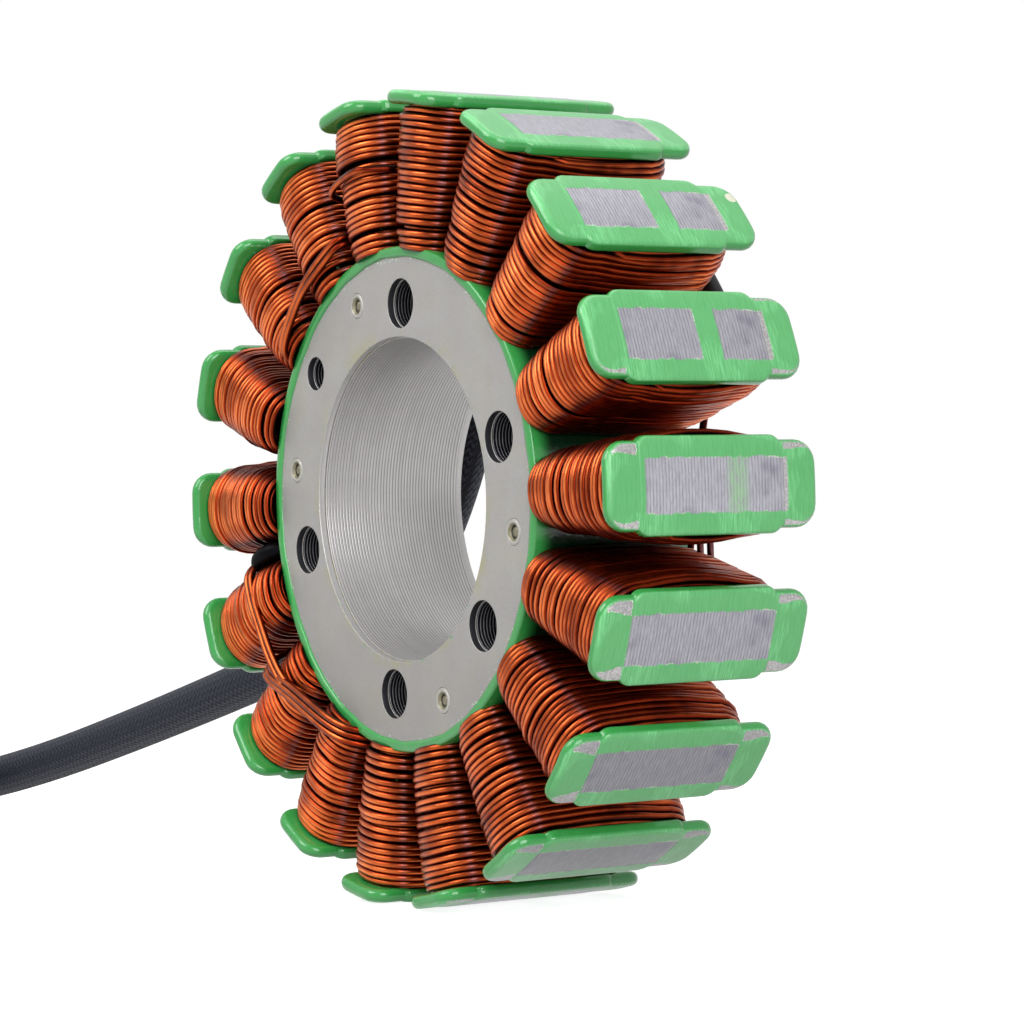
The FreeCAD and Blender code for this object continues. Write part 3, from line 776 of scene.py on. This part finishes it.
def ring_layer(low, high, wider, materials):
    """One thickness of the ring: flat faces, small rounded edges, the bore and the holes."""
    edge = 0.12 * MM
    curve = bpy.data.curves.new("ring", "CURVE")
    curve.dimensions = "2D"
    curve.fill_mode = "BOTH"
    curve.extrude = (high - low) / 2 - edge
    curve.bevel_depth = edge
    curve.bevel_resolution = 2
    curve.offset = -edge
    circle_spline(curve, YOKE_RADIUS - COAT, (0, 0), 240)
    circle_spline(curve, BORE_RADIUS + 2 * wider, (0, 0), 240)
    holes = [(BOLT_RADIUS, BOLT_CIRCLE, angle) for angle in BOLT_ANGLES]
    holes.append((LOCATING_RADIUS, LOCATING_CIRCLE, PATTERN_ANGLE + 180))
    holes += [(RIVET_RADIUS - wider, RIVET_CIRCLE, angle) for angle in RIVET_ANGLES]
    for radius, circle, angle in holes:
        turn = math.radians(angle)
        circle_spline(curve, radius + wider, (circle * math.cos(turn), circle * math.sin(turn)), 64)
    flat = bpy.data.objects.new("ring", curve)
    mesh = bpy.data.meshes.new_from_object(flat)
    bpy.data.objects.remove(flat)
    upright = Matrix.Rotation(math.radians(90), 4, "X")
    mesh.transform(Matrix.Translation((0, (low + high) / 2, 0)) @ upright)
    for material in materials:
        mesh.materials.append(material)
    for polygon in mesh.polygons:
        middle = polygon.center
        if abs(polygon.normal.y) < 0.3:
            in_bore = math.hypot(middle.x, middle.z) < BORE_RADIUS + 4 * edge
            polygon.material_index = 1 if in_bore else 2
        polygon.use_smooth = abs(polygon.normal.y) < 0.98
    return mesh


def make_ring(face, bore, hole, bore_plate, shaded_hole_plate):
    """The bare ring: the stack between two end plates whose openings are a little wider."""
    half = HALF_STACK
    layers = [
        ("front_plate", -half, -half + END_PLATE, 0.1 * MM, [face, bore_plate, shaded_hole_plate]),
        ("core_stack", -half + END_PLATE, half - END_PLATE, 0.0, [face, bore, hole]),
        ("rear_plate", half - END_PLATE, half, 0.1 * MM, [face, bore_plate, shaded_hole_plate]),
    ]
    for name, low, high, wider, materials in layers:
        piece = new_object(name, ring_layer(low, high, wider, materials))
        place(piece, "core_coat", "laminated_core")


# The faces of a box whose corners run from -z to +z, then through y and last through x
BOX_FACES = [(0, 1, 3, 2), (4, 6, 7, 5), (0, 4, 5, 1), (2, 3, 7, 6), (0, 2, 6, 4), (1, 5, 7, 3)]


def make_yoke(material):
    """The coat round the ring: a lip at each bare face's edge, the yoke and the necks."""
    shape = Shape()
    half = HALF_STACK
    rng = random.Random(7)
    waves = [
        (rng.uniform(0, 360), rng.choice([5, 11, 17, 23, 37]), rng.uniform(0.02, 0.07) * MM)
        for _ in range(7)
    ]

    def wobble(degrees, number):
        if number not in (0, 1, 8, 9):
            return 0.0
        return sum(
            size * math.sin(math.radians(count * (degrees + at))) for at, count, size in waves
        )

    profile = [
        (BARE_RADIUS, -half - 0.01 * MM),
        (BARE_RADIUS + 0.16 * MM, -half - 0.75 * COAT),
        (BARE_RADIUS + 0.45 * MM, -half - COAT),
        (YOKE_RADIUS - 0.4 * MM, -half - COAT),
        (YOKE_RADIUS - 0.1 * MM, -half - 0.7 * COAT),
        (YOKE_RADIUS, -half),
        (YOKE_RADIUS, half),
        (YOKE_RADIUS - 0.4 * MM, half + COAT),
        (BARE_RADIUS + 0.3 * MM, half + COAT),
        (BARE_RADIUS, half + 0.01 * MM),
        (BARE_RADIUS, 0.0),
    ]
    points, faces = revolved(profile, 360, wobble)
    shape.add(points, faces)
    for pole in range(POLE_COUNT):
        turn = about_axis(pole * POLE_STEP)
        wide, far, out = NECK_WIDTH / 2 - 0.8 * MM, half - 0.8 * MM, TIP_RADIUS - SHOE_THICKNESS
        corners = [
            turn @ Vector((x, y, z))
            for x in (YOKE_RADIUS - COAT, out)
            for y in (-far, far)
            for z in (-wide, wide)
        ]
        shape.add(corners, BOX_FACES)
    place(shape.piece("core_yoke", material), "core_coat", "laminated_core")


def rounded_plan(front, rear, half, corner, steps=6, parts=4):
    """The corners of a rectangle with round corners, in the plane of Y and Z."""
    points = []
    middles = [(rear - corner, half - corner), (front + corner, half - corner),
               (front + corner, corner - half), (rear - corner, corner - half)]
    for quarter, (y, z) in enumerate(middles):
        for step in range(steps + 1):
            turn = math.pi / 2 * (quarter + step / steps)
            points.append((y + corner * math.cos(turn), z + corner * math.sin(turn)))
        if quarter in (1, 3):
            side = front if quarter == 1 else rear
            points += [(side, z * (1 - 2 * part / parts)) for part in range(1, parts)]
    return points


def slab(shape, front, rear, half, corner, top, thickness, edge):
    """A plate under the shoe's crown whose rims are rounded by the edge, above and below."""
    quarter = [math.pi / 2 * step / 5 for step in range(6)]
    inner = np.linspace(edge, half - 0.02 * MM, 9)[1:]
    low = top - thickness
    rings = [(inset, top) for inset in inner[::-1]]
    rings += [(edge * (1 - math.sin(turn)), top - edge + edge * math.cos(turn)) for turn in quarter]
    rings += [(edge * (1 - math.cos(turn)), low + edge * (1 - math.sin(turn))) for turn in quarter]
    rings += [(inset, low) for inset in inner]
    points = []
    for inset, height in rings:
        round_by = max(corner - inset, 0.01 * MM)
        plan = rounded_plan(front + inset, rear - inset, half - inset, round_by)
        crown = [TIP_RADIUS - math.sqrt(TIP_RADIUS**2 - z**2) for _, z in plan]
        points += [(height - drop, y, z) for drop, (y, z) in zip(crown, plan)]
    count = len(plan)
    faces = grid(len(rings), count)
    faces.append(tuple(range(count - 1, -1, -1)))
    faces.append(tuple(range(len(points) - count, len(points))))
    shape.add(points, faces)


def make_shoe_mesh():
    """One pole's shoe: the wide stack between the end plates' tabs, under one coat."""
    shape = Shape()
    slab(shape, END_PLATE - HALF_STACK, HALF_STACK - END_PLATE + REAR_STEP, SHOE_WIDTH / 2,
         SHOE_CORNER, TIP_RADIUS, SHOE_THICKNESS, SHOE_EDGE)
    slab(shape, -HALF_STACK - FRONT_TAB, HALF_STACK + REAR_TAB, TAB_WIDTH / 2,
         TAB_CORNER, TIP_RADIUS - TAB_STEP, TAB_THICKNESS, TAB_EDGE)
    solid = shape.piece("shoe", [])
    mesh = solid.data
    bpy.data.objects.remove(solid)
    return mesh


# The ground patches of a shoe's face, in millimetres: from, to and half-width
FULL = [(-10.6, 13.0, 3.7)]
PARTED = [(-10.9, 1.2, 3.7), (4.8, 13.2, 3.7)]
LONG = [(-11.6, 12.3, 3.6)]


def make_shoes():
    """Each pole's shoe, with the places on its face where the coat was ground or scraped away."""
    mesh = make_shoe_mesh()
    faces = {
        0: (FULL, [(-1, 1, 1.5), (-1, -1, 0.9), (1, -1, 0.7), (1, 1, 0.9)]),
        1: (PARTED, [(-1, -1, 0.5), (1, -1, 0.6), (1, 1, 0.35)]),
        2: (PARTED, []),
        3: (FULL, []),
        15: (LONG, [(-1, -1, 2.6), (-1, 1, 2.0), (1, -1, 1.4), (1, 1, 1.8)]),
        16: (LONG, [(-1, -1, 2.4), (-1, 1, 2.2), (1, -1, 1.2), (1, 1, 1.7)]),
        17: (LONG, [(-1, -1, 2.0), (-1, 1, 2.0), (1, -1, 1.7), (1, 1, 1.2)]),
    }
    # Painted light and shade: the ground steel of shoes 16 to 18, low on the +X side, is painted
    # darker, and that of shoes 1 and 3 lighter.
    painted_light_tones = {15: 0.55, 16: 0.66, 17: 0.88, 0: 1.12, 2: 1.06}
    for pole in range(POLE_COUNT):
        others = [(1, -1, 1.5), (-1, 1, 1.4), (-1, -1, 1.7)]
        patches, scrapes = faces.get(pole, (PARTED if pole % 3 else LONG, others[: pole % 4]))
        chip = (16.8, 3.0, 1.8, 2.0) if pole == 2 else None
        smears = [(4.6, 3.6)] if pole == 0 else []
        painted_light_tone = painted_light_tones.get(pole, 1.0)
        material = coat(f"coat_{pole + 1:02d}", patches, scrapes, chip, smears, painted_light_tone)
        shoe = new_piece(f"shoe_{pole + 1:02d}", mesh.copy(), material)
        shoe.matrix_world = about_axis(pole * POLE_STEP)
        place(shoe, "core_coat", "laminated_core")


def rivet_metal():
    """Dull steel outside and brassy inside the flare, painted nearly black as painted shade where
    it lies deepest.
    """
    paint = Paint("dull_rivet")
    where, *_ = paint.place()
    depth = paint.attribute("depth")
    grain = where.noise(5.0, 3.0, 0.7)
    colour = paint.mix(depth.fade(0.2, 0.5), srgb(178, 176, 170), srgb(132, 127, 104))
    # Painted shade: nearly black where the surface lies deepest in the rivet.
    colour = paint.mix(depth.fade(0.7, 1.0), colour, srgb(16, 15, 14))
    colour = paint.mix(grain.ranged(-0.4, 0.8), colour, srgb(86, 83, 74))
    return paint.finish(base_color=colour, metallic=0.5, roughness=0.45, normal=grain.bump(0.03))


def make_rivets(material):
    """Tubular rivets, flared flush with the ring's faces."""
    # Each ring of points: its radius and rise in millimetres, and how far down the hole it is
    profile = [(1.9, -0.12, 0.0), (1.88, 0.0, 0.0), (1.7, 0.1, 0.0), (1.4, 0.1, 0.0),
               (1.28, 0.0, 0.5), (1.05, -0.1, 0.55), (1.0, -0.5, 1.0), (0.8, -0.7, 1.0),
               (0.72, -0.4, 0.6), (0.4, -0.28, 0.45), (0.0, -0.34, 0.6)]
    steps = 32
    for number, angle in enumerate(RIVET_ANGLES, start=1):
        shape = Shape()
        for side in (-1, 1):
            points, depths = [], []
            for radius, rise, depth in profile:
                for step in range(steps):
                    turn = 2 * math.pi * step / steps
                    out, up = radius * MM * math.cos(turn), radius * MM * math.sin(turn)
                    offset = Vector((out, side * (HALF_STACK + rise * MM), up))
                    points.append(spot(RIVET_CIRCLE, angle, 0) + offset)
                    depths.append(depth)
            faces = [quad if side > 0 else quad[::-1] for quad in grid(len(profile), steps)]
            shape.add(points, faces, depth=depths)
        place(shape.piece(f"tubular_rivet_{number}", material), "rivet_steel", f"rivet_{number}")


# The windings


def turn_outline(front, rear, half, swell, steps):
    """One turn seen along the pole, as (y, z): round the front from -Z to +Z, then round the rear.

    The second result says how far along the pole each point is wound, from 0 at the turn's start to
    1 at the next turn's: the wire climbs along the long sides and stays level round the ends.
    """
    points, climb = [], []
    for side, reach, count in ((-1, front, steps), (1, rear, steps * 2 // 3)):
        for step in range(count + 1):
            turn = math.pi * step / count
            out, aside = math.sin(turn), math.cos(turn)
            oval = math.copysign(abs(aside) ** END_POWER, aside)
            points.append((side * (reach - half + half * out**END_POWER), side * half * oval))
            climb.append(0.0 if side < 0 else 0.5)
        last = front if side > 0 else rear
        for share in (0.2, 0.4, 0.6, 0.8):
            along = blend(side * (reach - half), -side * (last - half), share)
            points.append((along, -side * (half + swell * (1 - (2 * share - 1) ** 2))))
            climb.append(climb[-1])
    count = len(points)
    climb = np.array(climb)
    first = steps + 1
    climb[first : first + 4] = 0.5 * np.array((0.2, 0.4, 0.6, 0.8))
    climb[count - 4 :] = 0.5 + 0.5 * np.array((0.2, 0.4, 0.6, 0.8))
    return np.array(points), climb


def wound_places(groups, low, high, groove, rng):
    """Where the turns lie between two radii: tight inside a group, with an open groove after it."""
    wide = [rng.uniform(0.7, 1.2) * groove for _ in groups[1:]]
    turns = sum(groups)
    pitch = (high - low - sum(wide)) / (turns - 1)
    at, places = low, []
    for group, gap in zip(groups, wide + [0.0]):
        for _ in range(group):
            places.append(at)
            at += pitch
        at += gap
    return places


def random_groups(rng):
    """A coil's turns in several groups, the largest at the shoe."""
    groups = []
    while sum(groups) < TURNS - 8:
        groups.append(rng.choice((1, 2, 2, 3, 4)))
    return (*groups, TURNS - sum(groups))


def coil_reaches(share, depth):
    """How far a coil reaches in front, behind and aside, the depth under its surface."""
    reaches = [HALF_STACK + COAT + blend(*build, share) for build in (FRONT_BUILD, REAR_BUILD)]
    reaches.append(NECK_WIDTH / 2 + blend(*SIDE_BUILD, share))
    return [reach - depth for reach in reaches]


def wind(shape, pole, rng, deeper, sides, steps, tints):
    """One layer of turns, the given depth under the coil's surface."""
    root, tip = YOKE_RADIUS - 0.05 * MM + deeper / 3, TIP_RADIUS - SHOE_THICKNESS - 0.15 * MM - WIRE
    groove = SEEN_GROOVE if pole in GROUPS else OTHER_GROOVE
    fronts = wound_places(GROUPS.get(pole) or random_groups(rng), root, tip - WIRE / 2, groove, rng)
    rears = wound_places(random_groups(rng), root + WIRE, tip, REAR_GROOVE, rng)
    path, outward, tint, sheen = [], [], [], []
    shift = WIRE if deeper else 0.0
    for number, (front, rear) in enumerate(zip(fronts, rears)):
        following = fronts[number + 1] if number + 1 < TURNS else rear
        share = (front - root) / (tip - root)
        depth = WIRE + deeper + 0.6 * MM * abs(2 * share - 1) ** 6
        belly = 0.0
        if share < 0.75:
            belly = BELLY.get(pole, 0.0) * math.sin(math.pi * min(1.0, 0.25 + share))
        *reaches, half = coil_reaches(share, depth)
        swell = blend(0.2 * MM, 0.7 * MM, share) + rng.uniform(-0.15, 0.2) * MM
        outline, climb = turn_outline(reaches[0] + belly, reaches[1], half, swell, steps)
        run = np.roll(outline, -1, axis=0) - np.roll(outline, 1, axis=0)
        normal = np.stack([run[:, 1], -run[:, 0]], axis=1)
        normal /= np.linalg.norm(normal, axis=1)[:, None]
        normal *= np.sign(np.sum(normal * outline, axis=1))[:, None]
        loose = 0.42 if rng.random() < 0.1 else 0.16
        lifts = [rng.uniform(-0.14, loose) * MM for _ in range(4)]
        round_turn = np.arange(len(outline)) / len(outline)
        lift = np.interp((round_turn + 0.75) % 1.0, (0, 0.25, 0.5, 0.75, 1), (*lifts, lifts[0]))
        outline = outline + normal * lift[:, None]
        onward, back = blend(front, rear, climb * 2), blend(rear, following, climb * 2 - 1)
        radius = np.where(climb < 0.5, onward, back)
        sway = rng.uniform(-0.1, 0.1) * MM
        radius = radius + shift + sway * np.sin(2 * np.pi * (round_turn * 2 + rng.random()))
        radius = radius - share * (TIP_RADIUS - np.sqrt(TIP_RADIUS**2 - outline[:, 1] ** 2))
        path.append(np.column_stack([radius, outline]))
        outward.append(np.column_stack([np.zeros(len(outline)), normal]))
        tint += [rng.uniform(*tints)] * (len(outline) * sides)
        # Painted highlight: the sheen is highest across the middle of each end and raised along the
        # long sides; a painted reflection raises it at the rear corners.
        aside = np.clip(np.abs(outline[:, 1]) / half, 0.0, 1.0)
        along_side = np.clip((np.abs(normal[:, 1]) - 0.9) / 0.1, 0.0, 1.0)
        behind = np.clip((outline[:, 0] - 7 * MM) / (4 * MM), 0.0, 1.0)
        lustre = (1 - np.minimum(aside, 1.0) ** 2) ** 1.2 + 0.55 * along_side
        sheen.append(np.repeat(lustre + 0.5 * behind * (1 - lustre), sides))
    tucked = path[-1][-1] + np.array([0.0, -3.0 * MM, 2.5 * MM])
    path.append(tucked[None])
    outward.append(outward[-1][-1:])
    tint += [0.0] * sides
    sheen.append(np.zeros(sides))
    path, outward, sheen = (np.concatenate(part) for part in (path, outward, sheen))
    add_wire(shape, path, outward, tint, sheen, sides=sides)


def add_wire(shape, path, outward, tint, sheen, radius=WIRE, sides=10):
    """A length of enamelled wire, with the numbers that its enamel reads for its painted highlight
    and shade.
    """
    points, faces, numbers = tube(path, radius, sides, outward)
    shape.add(points, faces, crest=numbers["crest"], tint=tint, sheen=sheen)


def make_coil(pole, material):
    """An outer layer of single turns over a second layer and a body, wound as one wire; the second
    layer and the body are painted darker, as painted shade.
    """
    rng = random.Random(100 + pole)
    shape = Shape()
    wind(shape, pole, rng, 0.0, 10, 18, SHADED_TINTS if pole in SHADED_COILS else LIGHT_TINTS)
    # Painted shade: the second layer's low tints paint it darker than the outer turns.
    wind(shape, pole, rng, SECOND_LAYER, 6, 10, (0.0, 0.25))
    rings = []
    for share in (0.0, 0.35, 0.7, 1.0):
        *reaches, half = coil_reaches(share, BODY_DEPTH)
        outline, _ = turn_outline(*reaches, half, 0.0, 10)
        radius = blend(YOKE_RADIUS, TIP_RADIUS - SHOE_THICKNESS, share)
        rings.append(np.column_stack([np.full(len(outline), radius), outline]))
    # Painted shade: the body's low crest and tint paint it nearly black-brown.
    shape.add(np.concatenate(rings), grid(len(rings), len(rings[0])), crest=-0.6, tint=0.0)
    coil = shape.piece(f"wound_coil_{pole + 1:02d}", material)
    coil.matrix_world = about_axis(pole * POLE_STEP)
    place(coil, "enamelled_wire", f"coil_{pole + 1:02d}")


def make_crossing(name, bends, shifts, ahead, material, *nodes):
    """Wires side by side that lie across the coils in front and dip between them at both ends."""
    shape = Shape()
    rng = random.Random(name)
    for number, shift in enumerate(shifts):
        route = [
            spot((radius + shift) * MM, degrees, (dip - ahead + rng.uniform(-0.15, 0.15)) * MM)
            for radius, degrees, dip in bends
        ]
        path = route_points(name, route, 6)
        # The painted highlight of each wire lies on the side that faces the front, turned a little
        # towards the axis.
        outward = [(-0.5 * x / YOKE_RADIUS, -0.85, -0.5 * z / YOKE_RADIUS) for x, _, z in path]
        add_wire(shape, path, outward, 0.2 + 0.25 * number, 0.6)
    place(shape.piece(name, material), "enamelled_wire", *nodes)


def make_slot_sleeves(material):
    """The shiny black sleeves that bend round in front between two coils."""
    shape = Shape()
    for bends in SLOT_SLEEVES:
        route = [spot(radius * MM, degrees, along * MM) for radius, degrees, along in bends]
        points, faces, _ = tube(route_points("slot_sleeve", route, 6), SLEEVE_RADIUS, 16)
        shape.add(points, faces)
    place(shape.piece("slot_sleeves", material), "lead_insulation")


# Behind the coils


def make_leads(sleeve, joint):
    """Three insulated leads from the cable's mouth over the coils, each to its covered joint."""
    mouth, inward = Vector(CABLE_ROUTE[0]), Vector(CABLE_ROUTE[1])
    out = (mouth - inward).normalized()
    aside = Vector((0, 1, 0)).cross(out).normalized()
    upward = out.cross(aside).normalized()
    gathered = [(1.0, 0.6), (0.0, -1.0), (-1.0, 0.6)]
    for lead, (right, up) in enumerate(gathered):
        start = mouth + 1.15 * LEAD_RADIUS * (aside * right + upward * up)
        route = [start - out * 2 * MM, start + out * 2.5 * MM]
        degrees = FAN_ANGLE
        while degrees > JOINT_ANGLES[lead] - JOINT_SPAN + 1:
            route.append(spot(LEAD_CIRCLES[lead], degrees, LEAD_HEIGHT))
            degrees -= 10.0
        last = JOINT_ANGLES[lead] - JOINT_SPAN
        route.append(spot(LEAD_CIRCLES[lead], last, LEAD_HEIGHT))
        path = [Vector(point) for point in route_points("lead_line", route, 8)]
        far = [math.degrees(math.atan2(point.z, point.x)) for point in path]
        begin = next(n for n, angle in enumerate(far) if angle < JOINT_ANGLES[lead] and n > 8)
        for name, points, radius, material, node in (
            ("lead", path[: begin + 2], LEAD_RADIUS, sleeve, f"phase_lead_{lead + 1}"),
            ("joint", path[begin:], JOINT_RADIUS, joint, f"joint_sleeve_{lead + 1}"),
        ):
            shape = Shape()
            points, faces, _ = tube(points, radius, 16)
            shape.add(points, faces)
            slot = "lead_insulation" if name == "lead" else "joint_sleeving"
            place(shape.piece(f"{name}_{lead + 1}", material), slot, node)


def make_links(material):
    """Each phase's wire from its joint into a slot, round inside the coils' roots and out."""
    names = ("inner_phase_links", "middle_phase_links", "outer_phase_links")
    for phase, name in enumerate(names):
        first, circle = SLOT_ANGLES[phase], LINK_CIRCLES[phase]
        last = first - LINK_SPAN
        joint = JOINT_ANGLES[phase] - JOINT_SPAN
        route = [
            spot(LEAD_CIRCLES[phase], joint + 1, LEAD_HEIGHT),
            spot(LEAD_CIRCLES[phase] - MM, joint - 1, LEAD_HEIGHT - 0.4 * MM),
            spot(YOKE_RADIUS + 3.4 * MM, joint - 1.5, LEAD_HEIGHT - MM),
            spot(YOKE_RADIUS + 1.6 * MM, joint - 4, LINK_HEIGHT + 1.9 * MM),
            spot(YOKE_RADIUS + MM, first, LINK_HEIGHT + MM),
            spot(circle, first - 4, LINK_HEIGHT),
        ]
        route += [spot(circle, first - 8 - 6 * step, LINK_HEIGHT) for step in range(48)]
        route += [
            spot(circle, last + 3, LINK_HEIGHT + (1.1 * MM if phase < 2 else 0)),
            spot(YOKE_RADIUS + MM, last, LINK_HEIGHT + (1.1 * MM if phase < 2 else 0)),
            spot(YOKE_RADIUS + 2.5 * MM, last, LINK_HEIGHT - 2 * MM),
        ]
        shape = Shape()
        path = route_points("link_line", route, 3)
        # The painted highlight of the wire lies on its side that faces the rear.
        add_wire(shape, path, [(0, 1, 0)] * len(path), 0.5, 0.8, LINK_WIRE)
        place(shape.piece(name[:-1], material), "enamelled_wire", name)


def make_tail_ends(material):
    """Two ends of wire that stand straight in the slot under the first pole, from coil to coil."""
    shape = Shape()
    for along in TAIL_ENDS:
        middle = spot(TAIL_CIRCLE, TAIL_ANGLE, along)
        path = [middle + Vector((0, 0, rise * MM)) for rise in (4.5, 1.5, -1.5, -4.5)]
        # Their low sheen and tint paint them dark, as painted shade in the slot.
        add_wire(shape, path, [(1, 0, 0)] * len(path), 0.2, 0.1, sides=8)
    place(shape.piece("tail_ends", material), "enamelled_wire")


# The cable


def route_points(name, route, resolution):
    """Points along the smooth line of a route: a spline with the route's points as its own."""
    curve = bpy.data.curves.new(name, "CURVE")
    curve.dimensions = "3D"
    curve.resolution_u = resolution
    spline = curve.splines.new("NURBS")
    spline.points.add(len(route) - 1)
    for point, place_ in zip(spline.points, route):
        point.co = (*place_, 1.0)
    spline.order_u = 3
    spline.use_endpoint_u = True
    line = bpy.data.objects.new(name, curve)
    mesh = bpy.data.meshes.new_from_object(line)
    points = [tuple(vertex.co) for vertex in mesh.vertices]
    bpy.data.objects.remove(line)
    return points


def round_edges(name, radius, material, slot):
    """A CAD node with square edges again, with its edges rounded as a moulding's are."""
    node = frame["nodes"][name]
    mesh = node.data.copy()
    mesh.materials.clear()
    work = bmesh.new()
    work.from_mesh(mesh)
    bmesh.ops.remove_doubles(work, verts=work.verts, dist=0.01 * MM)
    bmesh.ops.dissolve_limit(work, angle_limit=math.radians(1), verts=work.verts, edges=work.edges)
    bmesh.ops.bevel(
        work, geom=work.edges[:], offset=radius, segments=3, profile=0.5, affect="EDGES"
    )
    work.to_mesh(mesh)
    work.free()
    piece = new_piece(f"rounded_{name}", mesh, material)
    piece.matrix_world = node.matrix_world
    return place(piece, slot, name)


def make_cable(plug, material):
    """The woven sleeve in one length: behind the core, one and a half turns, and the tail."""
    turns, per_turn = 1.5, 16
    low, high = CABLE_ROUTE[-1][2], TAIL_ROUTE[0][2]
    coil = []
    steps = int(turns * per_turn)
    for step in range(1, steps):
        share = step / per_turn
        degrees = 90 + 360 * share
        height = blend(low, high, min(1.0, max(0.0, (share - 0.75) / 0.5)))
        turn = math.radians(degrees)
        ahead, aside = COIL_RADIUS * math.cos(turn), COIL_RADIUS * math.sin(turn)
        coil.append((COIL_MIDDLE[0] + ahead, COIL_MIDDLE[1] + aside, height))
    route = CABLE_ROUTE + coil + TAIL_ROUTE
    path = route_points("cable_line", route, 8)
    shape = Shape()
    points, faces, numbers = tube(path, CABLE_RADIUS, 32)
    shape.add(points, faces, **numbers)
    sleeve = shape.piece("woven_cable", material)
    place(sleeve, "woven_sleeve", "cable", "cable_coil", "cable_tail")
    nodes = frame["nodes"]
    [nodes[name] for name in ("coil_tie", "cable_boot", "plug_blades")] + [plug]


def dress(names, material):
    """A new finish for CAD nodes that keep their own shape."""
    for name in names:
        mesh = frame["nodes"][name].data
        mesh.materials.clear()
        mesh.materials.append(material)


make_camera()
make_stage()
bore = laminated_steel(
    "bore_laminations", srgb(204, 201, 201), srgb(138, 136, 137), (0.45, 1.0), 0.36, -0.03
)
# Painted shade: the walls of the holes are the bore's steel painted nearly black between lighter
# lamination lines, and their end plates' walls dark grey, where the bore's walls are light.
hole = laminated_steel(
    "shaded_hole_laminations", srgb(20, 21, 27), srgb(170, 170, 176), (0.8, 1.0), 0.4, 0.05
)
bore_plate = plain("bore_plate", srgb(200, 198, 197), 0.36, metallic=0.6)
shaded_hole_plate = plain("shaded_hole_plate", srgb(66, 67, 72), 0.4, metallic=0.6)
make_ring(bare_steel(), bore, hole, bore_plate, shaded_hole_plate)
make_yoke(coat("coat_yoke", slots=True))
make_shoes()
make_rivets(rivet_metal())
copper = enamel()
for pole in range(POLE_COUNT):
    make_coil(pole, copper)
make_crossing("upper_crossing", UPPER_CROSSING, (0.0, 1.1), 15.5, copper, "upper_front_link")
make_crossing("middle_crossing", MIDDLE_CROSSING, (0.0, 1.1), 15.8, copper, "middle_front_link")
make_crossing("lower_crossing", LOWER_CROSSING, (-0.6, 0.5, 1.6), 15.7, copper, "lower_front_link")
make_crossing("loose_turn", LOOSE_TURN, (0.0,), 15.9, copper)
make_links(copper)
make_tail_ends(copper)
plastic = plain("pale_plastic", srgb(208, 207, 200), 0.4)
plug = round_edges("plug_housing", PLUG_EDGE, plastic, "plug_plastic")
make_cable(plug, woven("woven_black", WEAVE_STRANDS, WEAVE_PITCH))
black = plain("black_insulation", srgb(5, 5, 8), 0.42, gloss=0.05)
make_slot_sleeves(black)
make_leads(black, plain("joint_sleeving", srgb(16, 16, 18), 0.5, gloss=0.3))
rubber = plain("black_rubber", srgb(18, 18, 20), 0.55, gloss=0.3)
dress(["mouth_band", "coil_tie", "cable_boot"], rubber)
dress(["plug_blades"], plain("tinned_brass", srgb(205, 190, 140), 0.3, metallic=0.9))

bpy.context.scene.view_settings.view_transform = "Standard"
